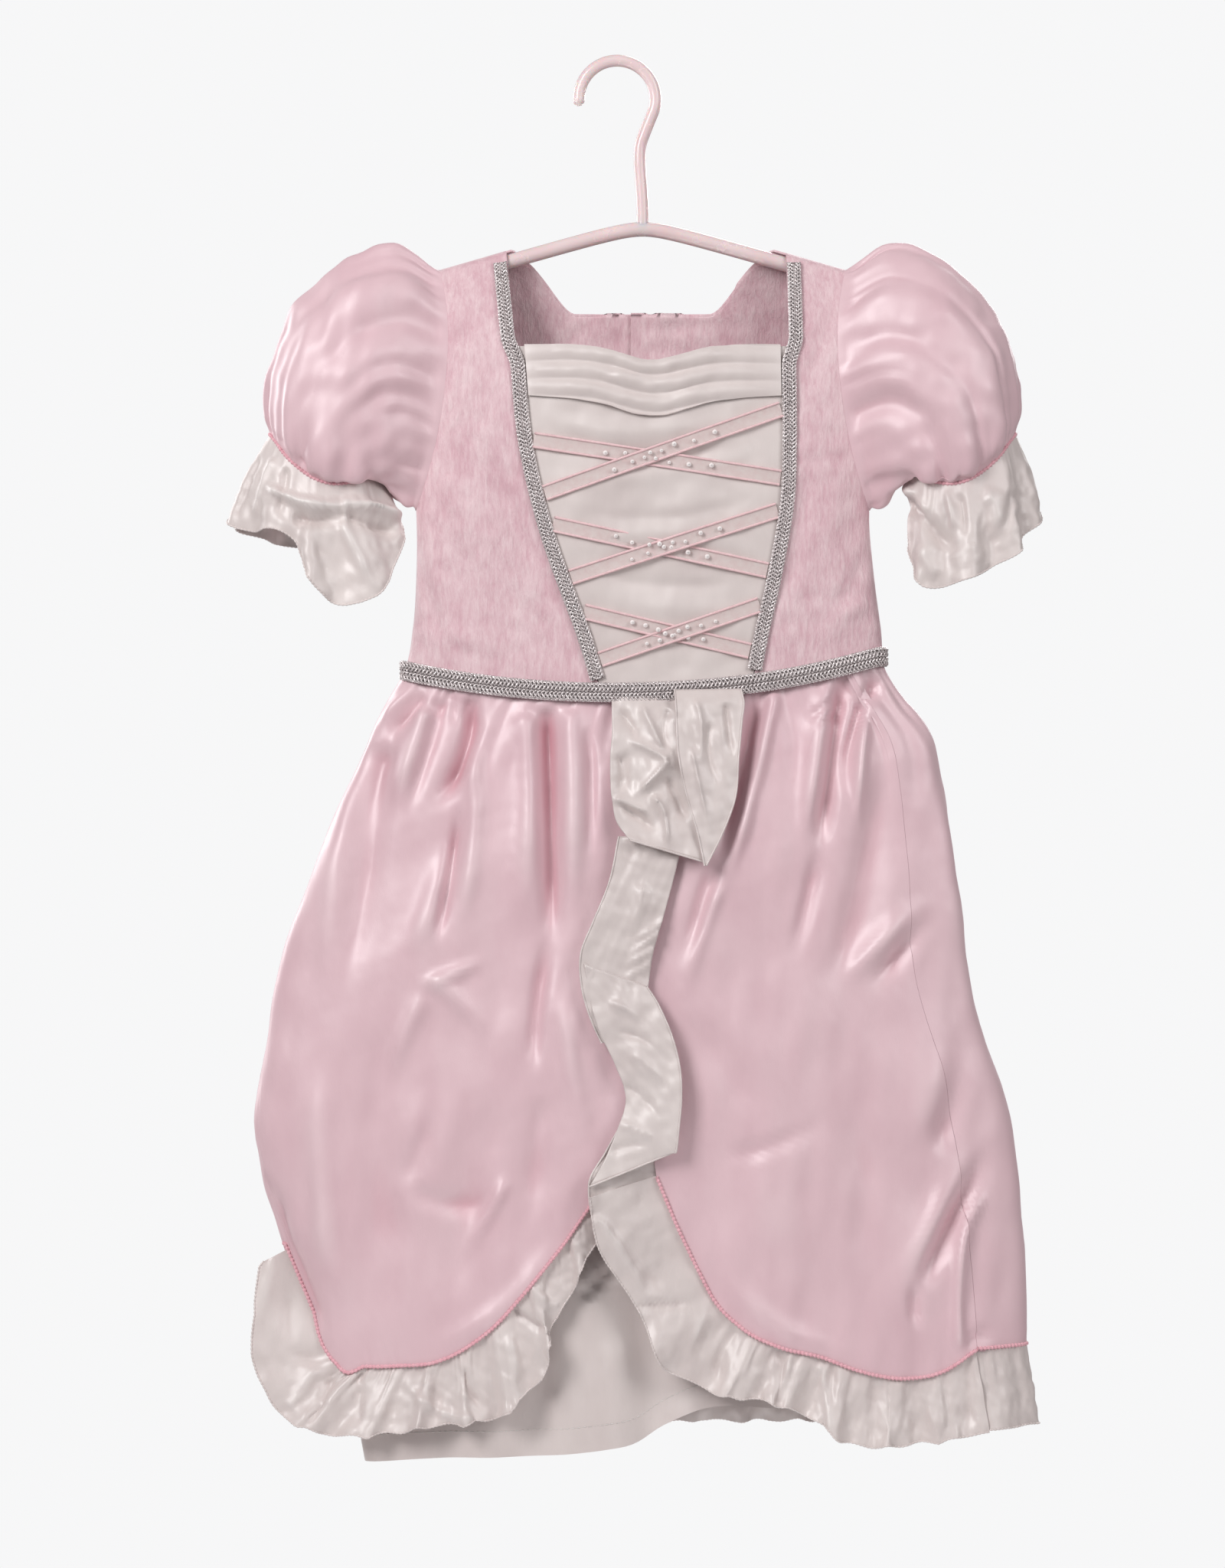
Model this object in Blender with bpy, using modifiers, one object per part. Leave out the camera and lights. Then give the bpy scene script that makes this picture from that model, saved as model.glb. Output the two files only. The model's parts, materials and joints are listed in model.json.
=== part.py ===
"""A child's princess costume dress, hanging on its small moulded hanger.

The cloth is hollow: each sewn piece is a thin wall lofted through sections of the garment.
The row frame has +Z up and the front of the dress facing -Y. The origin is the seat of the hook,
where a rail carries it. Tables and sizes are in millimetres, measured from the centre line of the
dress, and are turned into metres in the row frame when a mesh is made.

A piece's shape is a function of two shares from 0 to 1: across its width, and down its length.
A place on the body is its height z and its share of the girth: 0 is the left side as seen from
the front, 0.25 the centre front, 0.5 the right side and 0.75 the centre back.
"""

import math

import bmesh
import bpy
import numpy as np

MM = 0.001

# Driving sizes
DRESS_X = 15.0  # the dress hangs this far to the right of the hook's seat
SATIN = 1.2  # wall of the skirts, ruffles and sleeves
VELVET = 1.5  # wall of the bodice
SEAM = 0.25  # half of the gap left at a seam
WAIST_SEAM = 0.4  # from the waist line to the bodice above it and the skirt below it
ROUNDNESS = 2.5  # exponent of the body's flattened section
UNDERARM_Z = -261.0
SHOULDER_Z = -85.0  # where the two shoulder lines would meet
SHOULDER_SLOPE = 0.29
ARM_RADIUS = 4.3  # hanger arm
ARM_LENGTH = 146.0
CROWN_RADIUS = 14.0  # how softly the two hanger arms meet
SHOULDER_RADIUS = ARM_RADIUS + 0.8 + VELVET  # outside of the cloth over the arm
CAP_SHARE = 0.03  # the first rows of a bodice piece bend over the arm
CAP_START = 0.15  # radians from the top of the arm where a front or back begins
WIRE_RADIUS = 3.5  # hook
HOOK_INSIDE = 19.0  # inner radius of the hook
STRAP_INNER, STRAP_OUTER = 82.0, 118.0
STRAP_SHARE = 0.34  # part of a half back's width that its strap takes
STRAP_TURN = 0.05  # further part in which the neck's edge turns down behind the arm
BACK_SCOOP = 30.0  # depth of the back neckline
SIDE_SHARE = 0.0013  # girth share left free at each side of the bodice's and underskirt's side seams
SKIRT_SHARE = 0.0004  # the same at the overskirt's side seams
BACK_LAP = 7.0  # the left back reaches this far past the centre back, over the right back
LAP_DEPTH = VELVET + 0.4
BRAID_LIFT = 0.8  # the braid's back lies this far outside the cloth
BRAID_THICK = 1.5
WAIST_BRAID = 11.0
PRINCESS_BRAID = 8.0
RIBBON_WIDE = 9.5
RIBBON_THICK = 0.8
RIBBON_LIFT = 0.6
RIBBON_RISE = 1.8  # how much higher a ribbon passes over the other
RIBBON_END = 7.8  # from the princess line to the end of a ribbon
DRAPE_HEIGHT = 30.0  # of the satin folds at the neck
SKIRT_TUCK = 0.5  # the skirt's seam lies this far inside the bodice's outside
RUFFLE_SEAM = 0.8  # gap between a hem or cuff seam and its ruffle
SIDE_SEAM_RIGHT = 0.452  # girth share of the skirt's seam at the right
CUFF_DEPTH = 34.0  # half depth of a cuff ruffle's free edge
WAVES_UNDER = 6
WAVES_SLEEVE, WAVES_CUFF = 9, 9
WAIST_Z = -351.0  # of the waist seam at the sides
WAIST_SLOPE = 0.028
WAIST_DIP_FRONT, WAIST_DIP_BACK = 17.0, 6.0
WAIST_HALF = 140.0  # half width over which the waist dips
WAIST_GUESS = UNDERARM_Z - 94  # a height near the waist, to start from
HEM_GUESS = -790.0  # a height near the hem
SHOULDER_BLEND = 90.0  # height over which the shoulder's depth becomes the body's
SHARE_STEP = 0.004  # girth share over which the section's direction is taken
SIDE_BULGE = 1.4  # of the side fronts
NECK_Z, NECK_DIP, NECK_DIP_X, NECK_DIP_HALF = -166.0, 9.0, 6.0, 26.0
DRAPE_MARGIN, DRAPE_RISE, DRAPE_SAG, DRAPE_FOLDS, DRAPE_FOLD = 0.8, 1.0, 3.0, 3, 2.6
SCOOP_SHARE = 0.62  # part of a half back's width at which the back neckline is deepest
LAP_SHARES = (0.78, 0.88)  # where the right half back steps in under the left one
BRAID_TOP, BRAID_FOOT = -116.0, 2.2  # top of a princess braid, and its gap to the waist braid
STRAP_JOIN = (-178, -160)  # heights between which a princess braid moves onto the strap
BRAID_CROWDING = 0.7  # how closely the waist braid's columns stand at the sides
UNDER_CROWDING = 0.75  # the same for the underskirt
LIFT_POWER, WAVE_POWER = 1.3, 0.8  # how a hem ruffle's lift and waves grow from the seam
CASCADE_CROWN = 1.2
CASCADE_HEAD = 60.0  # height over which the cascade's head follows the waist seam
ARMHOLE_GAP = 0.6
ARMHOLE_BLEND = 0.4  # share of a sleeve over which the armhole's ring becomes the puff's
# The hook's stem, from the end of its arc to just above the crown
HOOK_SHANK = ((16.0, -39.5), (13.6, -47), (13.2, -56), (14.0, -68), (14.8, -80))
WAVE_COLUMNS = 4  # columns of a wall for each wave
HELD_SHARE = 1 / 12  # part of a skirt panel's width over which its folds rise from a seam
FOLD_START = 30.0  # below the waist seam, over which the placed folds deepen
RUFFLE_WAVE = 4.0  # height of a hem ruffle's waves
FOLD_STEPS = 10  # straight parts of a fold's line

# Rows and columns of a wall, as shares of its length and width
BODICE_ROWS = (0, 0.006, 0.016, CAP_SHARE, 0.09, 0.19, 0.32, 0.46, 0.57, 0.67, 0.77, 0.86, 0.94, 1)
CENTRE_ROWS = (0, 0.15, 0.3, 0.45, 0.6, 0.73, 0.84, 0.93, 1)
FRONT_COLUMNS = (0, 0.22, 0.44, 0.65, 0.83, 0.95, 1)
BACK_COLUMNS = (0, 0.05, 0.18, 0.34, 0.365, 0.39, 0.5, 0.64, 0.78, 0.88, 1)
SKIRT_ROWS = (0, 0.015, 0.045, 0.11, 0.2, 0.3, 0.42, 0.55, 0.7, 0.85, 1)
TIP_COLUMNS = (0.003, 0.01)  # next to the left side seam, where the section turns sharply
SEAM_COLUMNS = (0.008,)  # next to the right side seam
UNDER_ROWS = (0, 0.04, 0.13, 0.3, 0.6, 1)


def table(names, *rows):
    """A table with named columns, a row for each section or fold."""
    return dict(zip(names.split(), np.array(rows, float).T))


# The body of the dress: how far it reaches to the left and right, and its half depth
BODY = table(
    "z left right depth",
    (-825, 173, 214, 34),
    (-790, 180, 222, 35),
    (-762, 187, 226, 35),
    (-723, 203, 227, 35),
    (-692, 214, 225, 35),
    (-647, 225, 220, 35),
    (-620, 228, 216, 35),
    (-590, 225, 209, 34.5),
    (-559, 220, 198, 34),
    (-531, 213, 190, 33),
    (-504, 205, 187, 32),
    (-476, 196, 185, 31),
    (-449, 186, 182, 29.5),
    (-423, 175, 178, 28),
    (-393, 162, 170, 25.5),
    (-370, 148, 154, 22.5),
    (-352, 139, 143, 21.4),
    (-330, 135, 140, 21.7),
    (-300, 133, 136, 23),
    (-261, 133, 133, 25),
    (-220, 137, 137, 25.5),
    (-100, 140, 140, 26),
)

# Half depth of the bodice at a distance below the shoulder line
SHOULDER = table("below depth", (6.6, 6.6), (14, 8.8), (30, 12.5), (60, 18), (100, 22.5))

# Edge of the armhole, from the shoulder to the underarm
ARMHOLE = table(
    "z x",
    (-119, 119),
    (-140, 115),
    (-170, 114),
    (-200, 117),
    (-230, 123),
    (-250, 129),
    (-261, 133),
)

# The princess lines, where the centre panel meets the side panels
PRINCESS = table(
    "z left right",
    (-108, -80, 84),
    (-165, -74, 85),
    (-225, -68, 85.5),
    (-253, -62, 84.6),
    (-281, -54, 80.5),
    (-309, -44, 75),
    (-333, -35, 69.5),
    (-362, -26, 64),
)

# Lacing ribbons across the centre panel: height of each end, and whether it passes over
LACES = {
    "lace_top_rise": (-252, -203, True),
    "lace_top_fall": (-221, -243, False),
    "lace_mid_rise": (-301, -262, True),
    "lace_mid_fall": (-270, -297, False),
    "lace_low_rise": (-349, -317, True),
    "lace_low_fall": (-321, -344, False),
}

# Gathers below the waist: height of the narrow waves and of the broad folds they run into
PLEATS = table("drop height", (0, 0.25), (6, 0.45), (16, 1.7), (50, 1.5), (110, 0.7), (200, 0.2), (420, 0))
# How much narrower the underskirt is, by the distance below the waist, and its own waves
# Folds placed by hand. Each is a curve through three points, with its width and height and the
# shares of its length in which it rises and falls away. A trough has a negative height.
FOLD_COLUMNS = "x0 z0 x1 z1 x2 z2 width height rise fall"
FOLDS_LEFT = table(
    FOLD_COLUMNS,
    (-101, -370, -105, -405, -124, -437, 5.0, -4.2, 0.05, 0.35),
    (-111, -370, -111, -378, -110, -390, 2.5, -1.5, 0.05, 0.5),
    (-57, -374, -54, -447, -54, -520, 5.5, -4.6, 0.05, 0.3),
    (-54, -505, -62, -556, -63, -592, 4.5, -3.0, 0.3, 0.4),
    (-32, -385, -30, -429, -31, -470, 3.0, -1.6, 0.2, 0.4),
    (-108, -430, -113, -477, -121, -515, 3.0, -2.4, 0.3, 0.3),
    (-113, -450, -123, -492, -137, -525, 7.0, 2.4, 0.4, 0.4),
    (-99, -390, -99, -460, -110, -512, 6.0, 2.6, 0.2, 0.4),
    (-43, -376, -41, -441, -42, -525, 6.0, 2.4, 0.05, 0.5),
    (-68, -378, -66, -447, -70, -510, 6.0, 2.0, 0.05, 0.5),
    (-128, -362, -144, -374, -156, -390, 3.0, 2.0, 0.1, 0.4),
    (-128, -369, -138, -381, -150, -393, 3.0, -1.8, 0.1, 0.4),
    (-125, -376, -135, -406, -148, -440, 6.0, 2.6, 0.1, 0.5),
    (-118, -372, -126, -402, -140, -445, 4.0, -2.0, 0.05, 0.4),
    (-88, -522, -112, -533, -134, -541, 3.5, 1.8, 0.4, 0.4),
    (-88, -572, -110, -545, -126, -537, 5.0, 1.6, 0.4, 0.3),
    (-150, -598, -138, -566, -124, -540, 5.0, 1.6, 0.4, 0.3),
    (-140, -660, -130, -634, -116, -606, 6.0, -1.8, 0.3, 0.5),
    (-142, -654, -114, -666, -86, -663, 6.0, -1.6, 0.3, 0.4),
    (-78, -648, -90, -672, -110, -704, 4.0, 1.8, 0.3, 0.5),
    (-50, -684, -81, -726, -132, -754, 6.0, 1.8, 0.3, 0.4),
    (-190, -555, -186, -663, -172, -730, 9.0, 2.2, 0.4, 0.4),
    (-223, -650, -209, -697, -186, -750, 7.0, -2.6, 0.3, 0.2),
    (-160, -400, -180, -478, -186, -560, 9.0, 1.8, 0.2, 0.5),
    (-150, -395, -163, -470, -168, -560, 10, -2.4, 0.1, 0.5),
    (-150, -560, -152, -640, -148, -720, 12, -1.8, 0.4, 0.3),
    (-95, -590, -100, -650, -112, -730, 12, -1.6, 0.4, 0.3),
    (-60, -600, -62, -640, -72, -700, 7.0, -2.0, 0.3, 0.4),
    (-48, -540, -40, -590, -30, -640, 6.0, 1.8, 0.3, 0.4),
)
FOLDS_RIGHT = table(
    FOLD_COLUMNS,
    (68, -362, 58, -410, 40, -476, 6.0, -4.6, 0.03, 0.3),
    (43, -464, 34, -495, 24, -530, 5.0, -3.0, 0.3, 0.4),
    (75, -366, 63, -420, 45, -484, 5.0, 3.2, 0.05, 0.3),
    (47, -474, 35, -505, 22, -548, 4.5, 2.2, 0.3, 0.5),
    (118, -352, 111, -405, 102, -466, 5.0, -3.8, 0.03, 0.3),
    (103, -455, 95, -495, 86, -528, 5.0, -2.2, 0.3, 0.5),
    (109, -356, 101, -410, 90, -470, 6.0, 2.4, 0.05, 0.4),
    (139, -358, 122, -396, 118, -432, 4.0, -3.2, 0.03, 0.4),
    (133, -366, 127, -408, 126, -450, 3.5, 2.4, 0.1, 0.4),
    (112, -370, 104, -378, 94, -386, 2.5, -1.4, 0.3, 0.4),
    (116, -378, 108, -384, 99, -390, 2.2, -1.2, 0.3, 0.4),
    (140, -405, 126, -500, 108, -545, 10, -2.6, 0.2, 0.4),
    (172, -494, 153, -518, 130, -545, 5.0, -2.6, 0.3, 0.4),
    (168, -486, 140, -512, 108, -545, 6.0, 2.4, 0.3, 0.4),
    (211, -624, 181, -675, 160, -720, 6.0, -4.0, 0.2, 0.3),
    (161, -712, 158, -726, 163, -740, 4.0, -2.0, 0.3, 0.4),
    (203, -622, 172, -672, 150, -722, 8.0, 2.4, 0.3, 0.3),
    (202, -662, 187, -688, 184, -752, 3.0, 2.0, 0.2, 0.05),
    (187, -746, 196, -744, 208, -739, 3.0, -1.2, 0.3, 0.4),
    (44, -636, 72, -633, 113, -614, 4.0, -1.2, 0.4, 0.4),
    (190, -585, 178, -616, 174, -640, 7.0, -2.2, 0.4, 0.4),
    (178, -570, 166, -605, 160, -640, 8.0, 1.6, 0.4, 0.4),
    (178, -400, 190, -501, 200, -568, 10, 1.6, 0.3, 0.4),
    (28, -552, 52, -590, 66, -630, 10, -1.6, 0.4, 0.4),
    (70, -560, 82, -640, 96, -735, 16, 1.4, 0.4, 0.3),
    (120, -570, 128, -650, 132, -740, 12, -1.6, 0.4, 0.3),
    (45, -700, 80, -738, 140, -757, 6.0, 1.4, 0.3, 0.4),
)
FOLDS_BACK = table(
    FOLD_COLUMNS,
    (-110, -358, -118, -430, -140, -520, 6.0, -3.8, 0.03, 0.4),
    (-70, -358, -72, -450, -80, -560, 6.0, -4.0, 0.03, 0.4),
    (-45, -360, -44, -420, -48, -500, 4.0, -3.0, 0.03, 0.5),
    (-10, -360, -8, -450, -14, -600, 6.5, -4.2, 0.03, 0.4),
    (28, -359, 30, -430, 40, -520, 5.0, -3.6, 0.03, 0.4),
    (62, -358, 70, -450, 86, -570, 6.0, -4.0, 0.03, 0.4),
    (104, -356, 118, -430, 132, -500, 5.0, -3.6, 0.03, 0.5),
    (-92, -365, -98, -460, -115, -600, 9.0, 2.6, 0.1, 0.4),
    (-58, -365, -60, -470, -66, -600, 7.0, 2.2, 0.1, 0.4),
    (10, -370, 14, -480, 12, -640, 10, 2.6, 0.1, 0.4),
    (46, -365, 52, -460, 66, -600, 7.0, 2.2, 0.1, 0.4),
    (84, -365, 98, -470, 112, -620, 9.0, 2.6, 0.1, 0.4),
    (-150, -450, -165, -560, -170, -690, 12, -2.4, 0.4, 0.3),
    (-40, -560, -50, -660, -60, -750, 12, -2.2, 0.4, 0.1),
    (-6, -600, -4, -680, -8, -750, 9.0, 1.8, 0.4, 0.1),
    (60, -560, 70, -660, 76, -750, 13, -2.4, 0.4, 0.1),
    (150, -470, 168, -580, 180, -720, 12, -2.6, 0.4, 0.2),
    (-110, -620, -100, -650, -70, -668, 5.0, 1.6, 0.4, 0.4),
    (130, -600, 112, -630, 90, -640, 5.0, -1.6, 0.4, 0.4),
    (-30, -470, -6, -482, 20, -478, 4.0, -1.2, 0.4, 0.4),
)

# For each overskirt panel: its pleats at the waist, the waves of its hem ruffle and its folds
GATHERING = {
    "front_left": (9, 8, FOLDS_LEFT),
    "front_right": (7, 7, FOLDS_RIGHT),
    "back": (14, 12, FOLDS_BACK),
}

UNDERSKIRT = table("drop inset wave", (0, 2.6, 0.1), (16, 6.2, 0.4), (60, 9.2, 1.2), (450, 10, 2.2))
UNDER_HEM = table(
    "x z",
    (-170, -819),
    (-108, -815),
    (-63, -814),
    (-22, -810),
    (-4, -806),
    (12, -796),
    (32, -787),
    (80, -786),
    (222, -788),
)

# Edges of the two front skirt panels, which meet under the cascade and part below it
OPENING = table(
    "z left right",
    (-362, 17.7, 18.3),
    (-459, 3.7, 4.3),
    (-516, -12.3, -11.7),
    (-556, -8.3, -7.7),
    (-600, -1, 1),
    (-625, -8, 4),
    (-650, -18, 8),
)

# Hem of each front panel, the outer edge of the ruffle sewn to it, and how far that stands out
HEM_LEFT = table(
    "x z outer_x outer_z lift",
    (-213, -692, -227, -699, 3),
    (-201, -723, -231, -724, 4),
    (-189, -747, -229, -752, 5),
    (-179, -761, -219, -778, 5),
    (-162, -762, -194, -799, 5),
    (-141, -761, -156, -802, 5),
    (-123, -759, -130, -797, 5),
    (-103, -750, -100, -794, 4),
    (-84, -735, -76, -786, 4),
    (-69, -718, -59, -765, 3),
    (-56, -702, -50, -737, 2),
    (-45, -688, -41, -715, 1),
    (-34, -672, -30, -695, 0),
    (-18, -650, -12, -672, -1),
)
HEM_RIGHT = table(
    "x z outer_x outer_z lift",
    (8, -650, -31, -662, 10),
    (17, -672, -26, -690, 10),
    (27, -694, -6, -722, 8),
    (39, -718, 6, -752, 7),
    (56, -737, 36, -774, 6),
    (79, -749, 64, -780, 5),
    (103, -755, 92, -788, 5),
    (125, -763, 118, -805, 5),
    (154, -768, 154, -807, 5),
    (176, -764, 181, -804, 4),
    (194, -752, 202, -800, 4),
)
# The back hem by girth share, from the right side seam round the back to the left side
HEM_BACK = table(
    "share z outer_dx outer_dz lift",
    (SIDE_SEAM_RIGHT, -751, 8, -48, 4),
    (0.50, -750, 6, -47, 4),
    (0.60, -754, 2, -45, 5),
    (0.75, -756, 0, -45, 5),
    (0.88, -753, -3, -45, 5),
    (0.93, -745, -10, -42, 5),
    (0.96, -731, -16, -36, 5),
    (0.978, -714, -18, -24, 4),
    (0.99, -703, -17, -15, 4),
)

# The cascade, one ruffle folded to and fro down the front: its edges, how far they stand out,
# and how much lower a row's left end hangs
CASCADE = table(
    "z left right out_left out_right drop",
    (-373, -17, 56, 2.6, 2.6, 0),
    (-392, -15, 56, 7.5, 10.5, 0),
    (-418, -16, 55, 6.8, 13.0, 0),
    (-444, -17, 49, 9.0, 12.0, 0),
    (-464, -17, 37, 12.0, 8.0, 0),
    (-480, -20, 18, 7.0, 8.5, 0),
    (-500, -28, 10, 7.0, 8.5, 0),
    (-522, -36, 5, 9.5, 7.5, 0),
    (-545, -36, 3, 12.0, 7.5, 0),
    (-566, -28, 16, 9.5, 9.5, 0),
    (-590, -16, 22, 8.0, 12.0, 0),
    (-614, -15, 22, 8.0, 13.0, 0),
    (-632, -22, 16, 10.5, 10.0, 4),
    (-647, -31, 8, 11.0, 8.5, 13),
)

# Puff sleeve, as sections from the armhole to the cuff seam: the outer and inner end of each
# section, its half depth, and how far its front and back sag
PUFF = table(
    "along outer_x outer_z inner_x inner_z depth sag",
    (0.00, 119.6, -119.6, 133.6, -261.2, 22, 0),
    (0.14, 144, -105, 139, -259.5, 30, 0),
    (0.30, 172, -113, 143, -257, 36, 0),
    (0.46, 197, -133, 146, -254, 38, 3),
    (0.60, 213, -156, 148, -251, 38, 7),
    (0.74, 220, -184, 150, -247, 36, 14),
    (0.88, 222, -204, 152, -241, 32, 20),
    (1.00, 219, -216, 154, -235, 26, 20),
)
SLEEVE_GATHER = table("along height", (0, 0), (0.1, 1.6), (0.3, 1.6), (0.55, 0.9), (0.85, 1.8), (1, 0.4))

# Free edge of each cuff ruffle: an angle round the sleeve from its outer side over the front
CUFF_RIGHT = table(
    "angle x z wave",
    (0, 234, -262, 3),
    (35, 222, -281, 4),
    (62, 207, -294, 4),
    (90, 186, -303, 4),
    (118, 166, -307, 3),
    (150, 156, -290, 2),
    (180, 159, -268, 1),
    (225, 166, -272, 2),
    (270, 190, -280, 4),
    (315, 224, -270, 4),
    (360, 234, -262, 3),
)
CUFF_LEFT = table(
    "angle x z wave",
    (0, 244, -266, 3),
    (28, 231, -274, 4),
    (50, 212, -273, 3),
    (66, 202, -283, 3),
    (84, 194, -302, 3),
    (104, 179, -315, 4),
    (124, 162, -315, 3),
    (150, 149, -296, 2),
    (180, 156, -268, 1),
    (225, 165, -274, 2),
    (270, 192, -282, 4),
    (315, 228, -276, 4),
    (360, 244, -266, 3),
)

# Colour, roughness and metallic value of each finish
FINISHES = {
    "pink_satin": ((0.80, 0.50, 0.55), 0.35, 0.0),
    "pink_velvet": ((0.76, 0.46, 0.52), 0.75, 0.0),
    "white_satin": ((0.82, 0.76, 0.73), 0.35, 0.0),
    "silver_braid": ((0.55, 0.54, 0.53), 0.40, 0.6),
    "organza": ((0.86, 0.62, 0.62), 0.45, 0.0),
    "hanger_plastic": ((0.88, 0.74, 0.74), 0.30, 0.0),
}


def smooth(keys, values, at):
    """Values on a smooth curve through a table's rows, flat past its ends."""
    order = np.argsort(keys)
    x, y = np.asarray(keys, float)[order], np.asarray(values, float)[order]
    slope = np.gradient(y, x)
    at = np.clip(at, x[0], x[-1])
    i = np.clip(np.searchsorted(x, at) - 1, 0, len(x) - 2)
    h = x[i + 1] - x[i]
    t = (at - x[i]) / h
    start = (1 + 2 * t) * (1 - t) ** 2 * y[i] + t * (1 - t) ** 2 * h * slope[i]
    end = t * t * (3 - 2 * t) * y[i + 1] + t * t * (t - 1) * h * slope[i + 1]
    return start + end


def read(rows, key, column, at):
    """A table's column on a smooth curve, at values of its key column."""
    return smooth(rows[key], rows[column], at)


def ease(low, high, at):
    """A smooth step from 0 at low to 1 at high."""
    t = np.clip((at - low) / (high - low), 0, 1)
    return t * t * (3 - 2 * t)


# The body


def power(value):
    """The section's superellipse power, with its sign kept."""
    return np.sign(value) * np.abs(value) ** (2 / ROUNDNESS)


HEIGHTS = np.arange(-836.0, -92.0, 4.0)
TURNS = np.linspace(0, math.pi, 241)
SHARES = np.linspace(0, 0.5, 241)


def lay_out_girth():
    """For each height: the girth share at each turn round the section, and the turn at each share."""
    shares, turns = [], []
    for z in HEIGHTS:
        left, right, depth = (read(BODY, "z", name, z) for name in ("left", "right", "depth"))
        x = -(left + right) / 2 * power(np.cos(TURNS))
        y = depth * power(np.clip(np.sin(TURNS), 0, 1))
        girth = np.concatenate([[0], np.cumsum(np.hypot(np.diff(x), np.diff(y)))])
        shares.append(girth / girth[-1] / 2)
        turns.append(np.interp(SHARES, shares[-1], TURNS))
    return np.array(shares), np.array(turns)


SHARE_AT_TURN, TURN_AT_SHARE = lay_out_girth()


def look_up(grid, z, across):
    """A value from a grid of heights and places across, the places running from 0 to 1."""
    row = np.clip((z - HEIGHTS[0]) / (HEIGHTS[1] - HEIGHTS[0]), 0, len(HEIGHTS) - 1.001)
    column = np.clip(across * (grid.shape[1] - 1), 0, grid.shape[1] - 1.001)
    r, c = row.astype(int), column.astype(int)
    v, w = row - r, column - c
    near = grid[r, c] * (1 - w) + grid[r, c + 1] * w
    far = grid[r + 1, c] * (1 - w) + grid[r + 1, c + 1] * w
    return near * (1 - v) + far * v


def shoulder_z(x):
    """Height of the shoulder line over the hanger's arm."""
    return SHOULDER_Z - SHOULDER_SLOPE * np.abs(x)


def waist_z(x, front):
    """Height of the waist seam, which dips at the centre, most at the front."""
    dip = np.where(front, WAIST_DIP_FRONT, WAIST_DIP_BACK)
    return WAIST_Z + WAIST_SLOPE * x - dip * (1 - np.minimum(1.0, (x / WAIST_HALF) ** 2))


def draw_in(x, z, depth):
    """Half depth of the body at x, drawn in to the hanger's arm near the shoulder line."""
    below = shoulder_z(x) - z
    rest = SHOULDER_RADIUS - np.clip(below, 0, SHOULDER_RADIUS)
    cap = np.sqrt(SHOULDER_RADIUS**2 - rest**2)
    share = np.clip((below - SHOULDER_RADIUS) / SHOULDER_BLEND, 0, 1)
    wall_depth = read(SHOULDER, "below", "depth", below) * (1 - share) + depth * share
    return np.where(below < SHOULDER_RADIUS, cap, wall_depth)


def spot(z, s, inset=0.0):
    """Point of the body at a height and girth share, on a section made smaller by the inset."""
    s = s % 1.0
    turn = look_up(TURN_AT_SHARE, z, np.minimum(s, 1 - s) * 2)
    left, right, depth = (read(BODY, "z", name, z) - inset for name in ("left", "right", "depth"))
    x = (right - left) / 2 - (left + right) / 2 * power(np.cos(turn))
    y = draw_in(x, z, depth * power(np.clip(np.sin(turn), 0, 1)))
    return np.stack([x, np.where(s <= 0.5, -y, y), z + 0 * x], axis=-1)


def share_at(z, x):
    """Girth share of the front point at x."""
    z, x = np.broadcast_arrays(np.asarray(z, float), np.asarray(x, float))
    left, right = read(BODY, "z", "left", z), read(BODY, "z", "right", z)
    cosine = np.clip(((right - left) / 2 - x) / ((left + right) / 2), -1, 1)
    turn = np.arccos(np.sign(cosine) * np.abs(cosine) ** (ROUNDNESS / 2))
    return look_up(SHARE_AT_TURN, z, turn / math.pi)


def body_point(z, s, out=0.0, inset=0.0):
    """Point of the body moved out by a distance, square to the section."""
    z, s = np.broadcast_arrays(np.asarray(z, float), np.asarray(s, float))
    along = spot(z, s + SHARE_STEP, inset) - spot(z, s - SHARE_STEP, inset)
    length = np.hypot(along[..., 0], along[..., 1])
    normal = np.stack([along[..., 1] / length, -along[..., 0] / length, 0 * length], axis=-1)
    return spot(z, s, inset) + np.asarray(out)[..., None] * normal


def front_point(x, z, out=0.0):
    """Point of the front of the body at x, moved out by a distance."""
    return body_point(z, share_at(z, x), out)


# Making solids

MATERIALS = {}
DRESS = bpy.data.collections.new("princess_costume_dress")
CUTTERS = bpy.data.collections.new("cutters")


def material(name):
    """A plain material with the piece's colour, roughness and metallic value."""
    if name not in MATERIALS:
        colour, roughness, metallic = FINISHES[name]
        made = bpy.data.materials.new(name)
        made.use_nodes = True
        shader = made.node_tree.nodes["Principled BSDF"]
        shader.inputs["Base Color"].default_value = (*colour, 1.0)
        shader.inputs["Roughness"].default_value = roughness
        shader.inputs["Metallic"].default_value = metallic
        MATERIALS[name] = made
    return MATERIALS[name]


def place(name, mesh, finish):
    """A named object in the dress's collection."""
    made = bpy.data.objects.new(name, mesh)
    DRESS.objects.link(made)
    mesh.materials.append(material(finish))
    mesh.shade_smooth()
    return made


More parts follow.
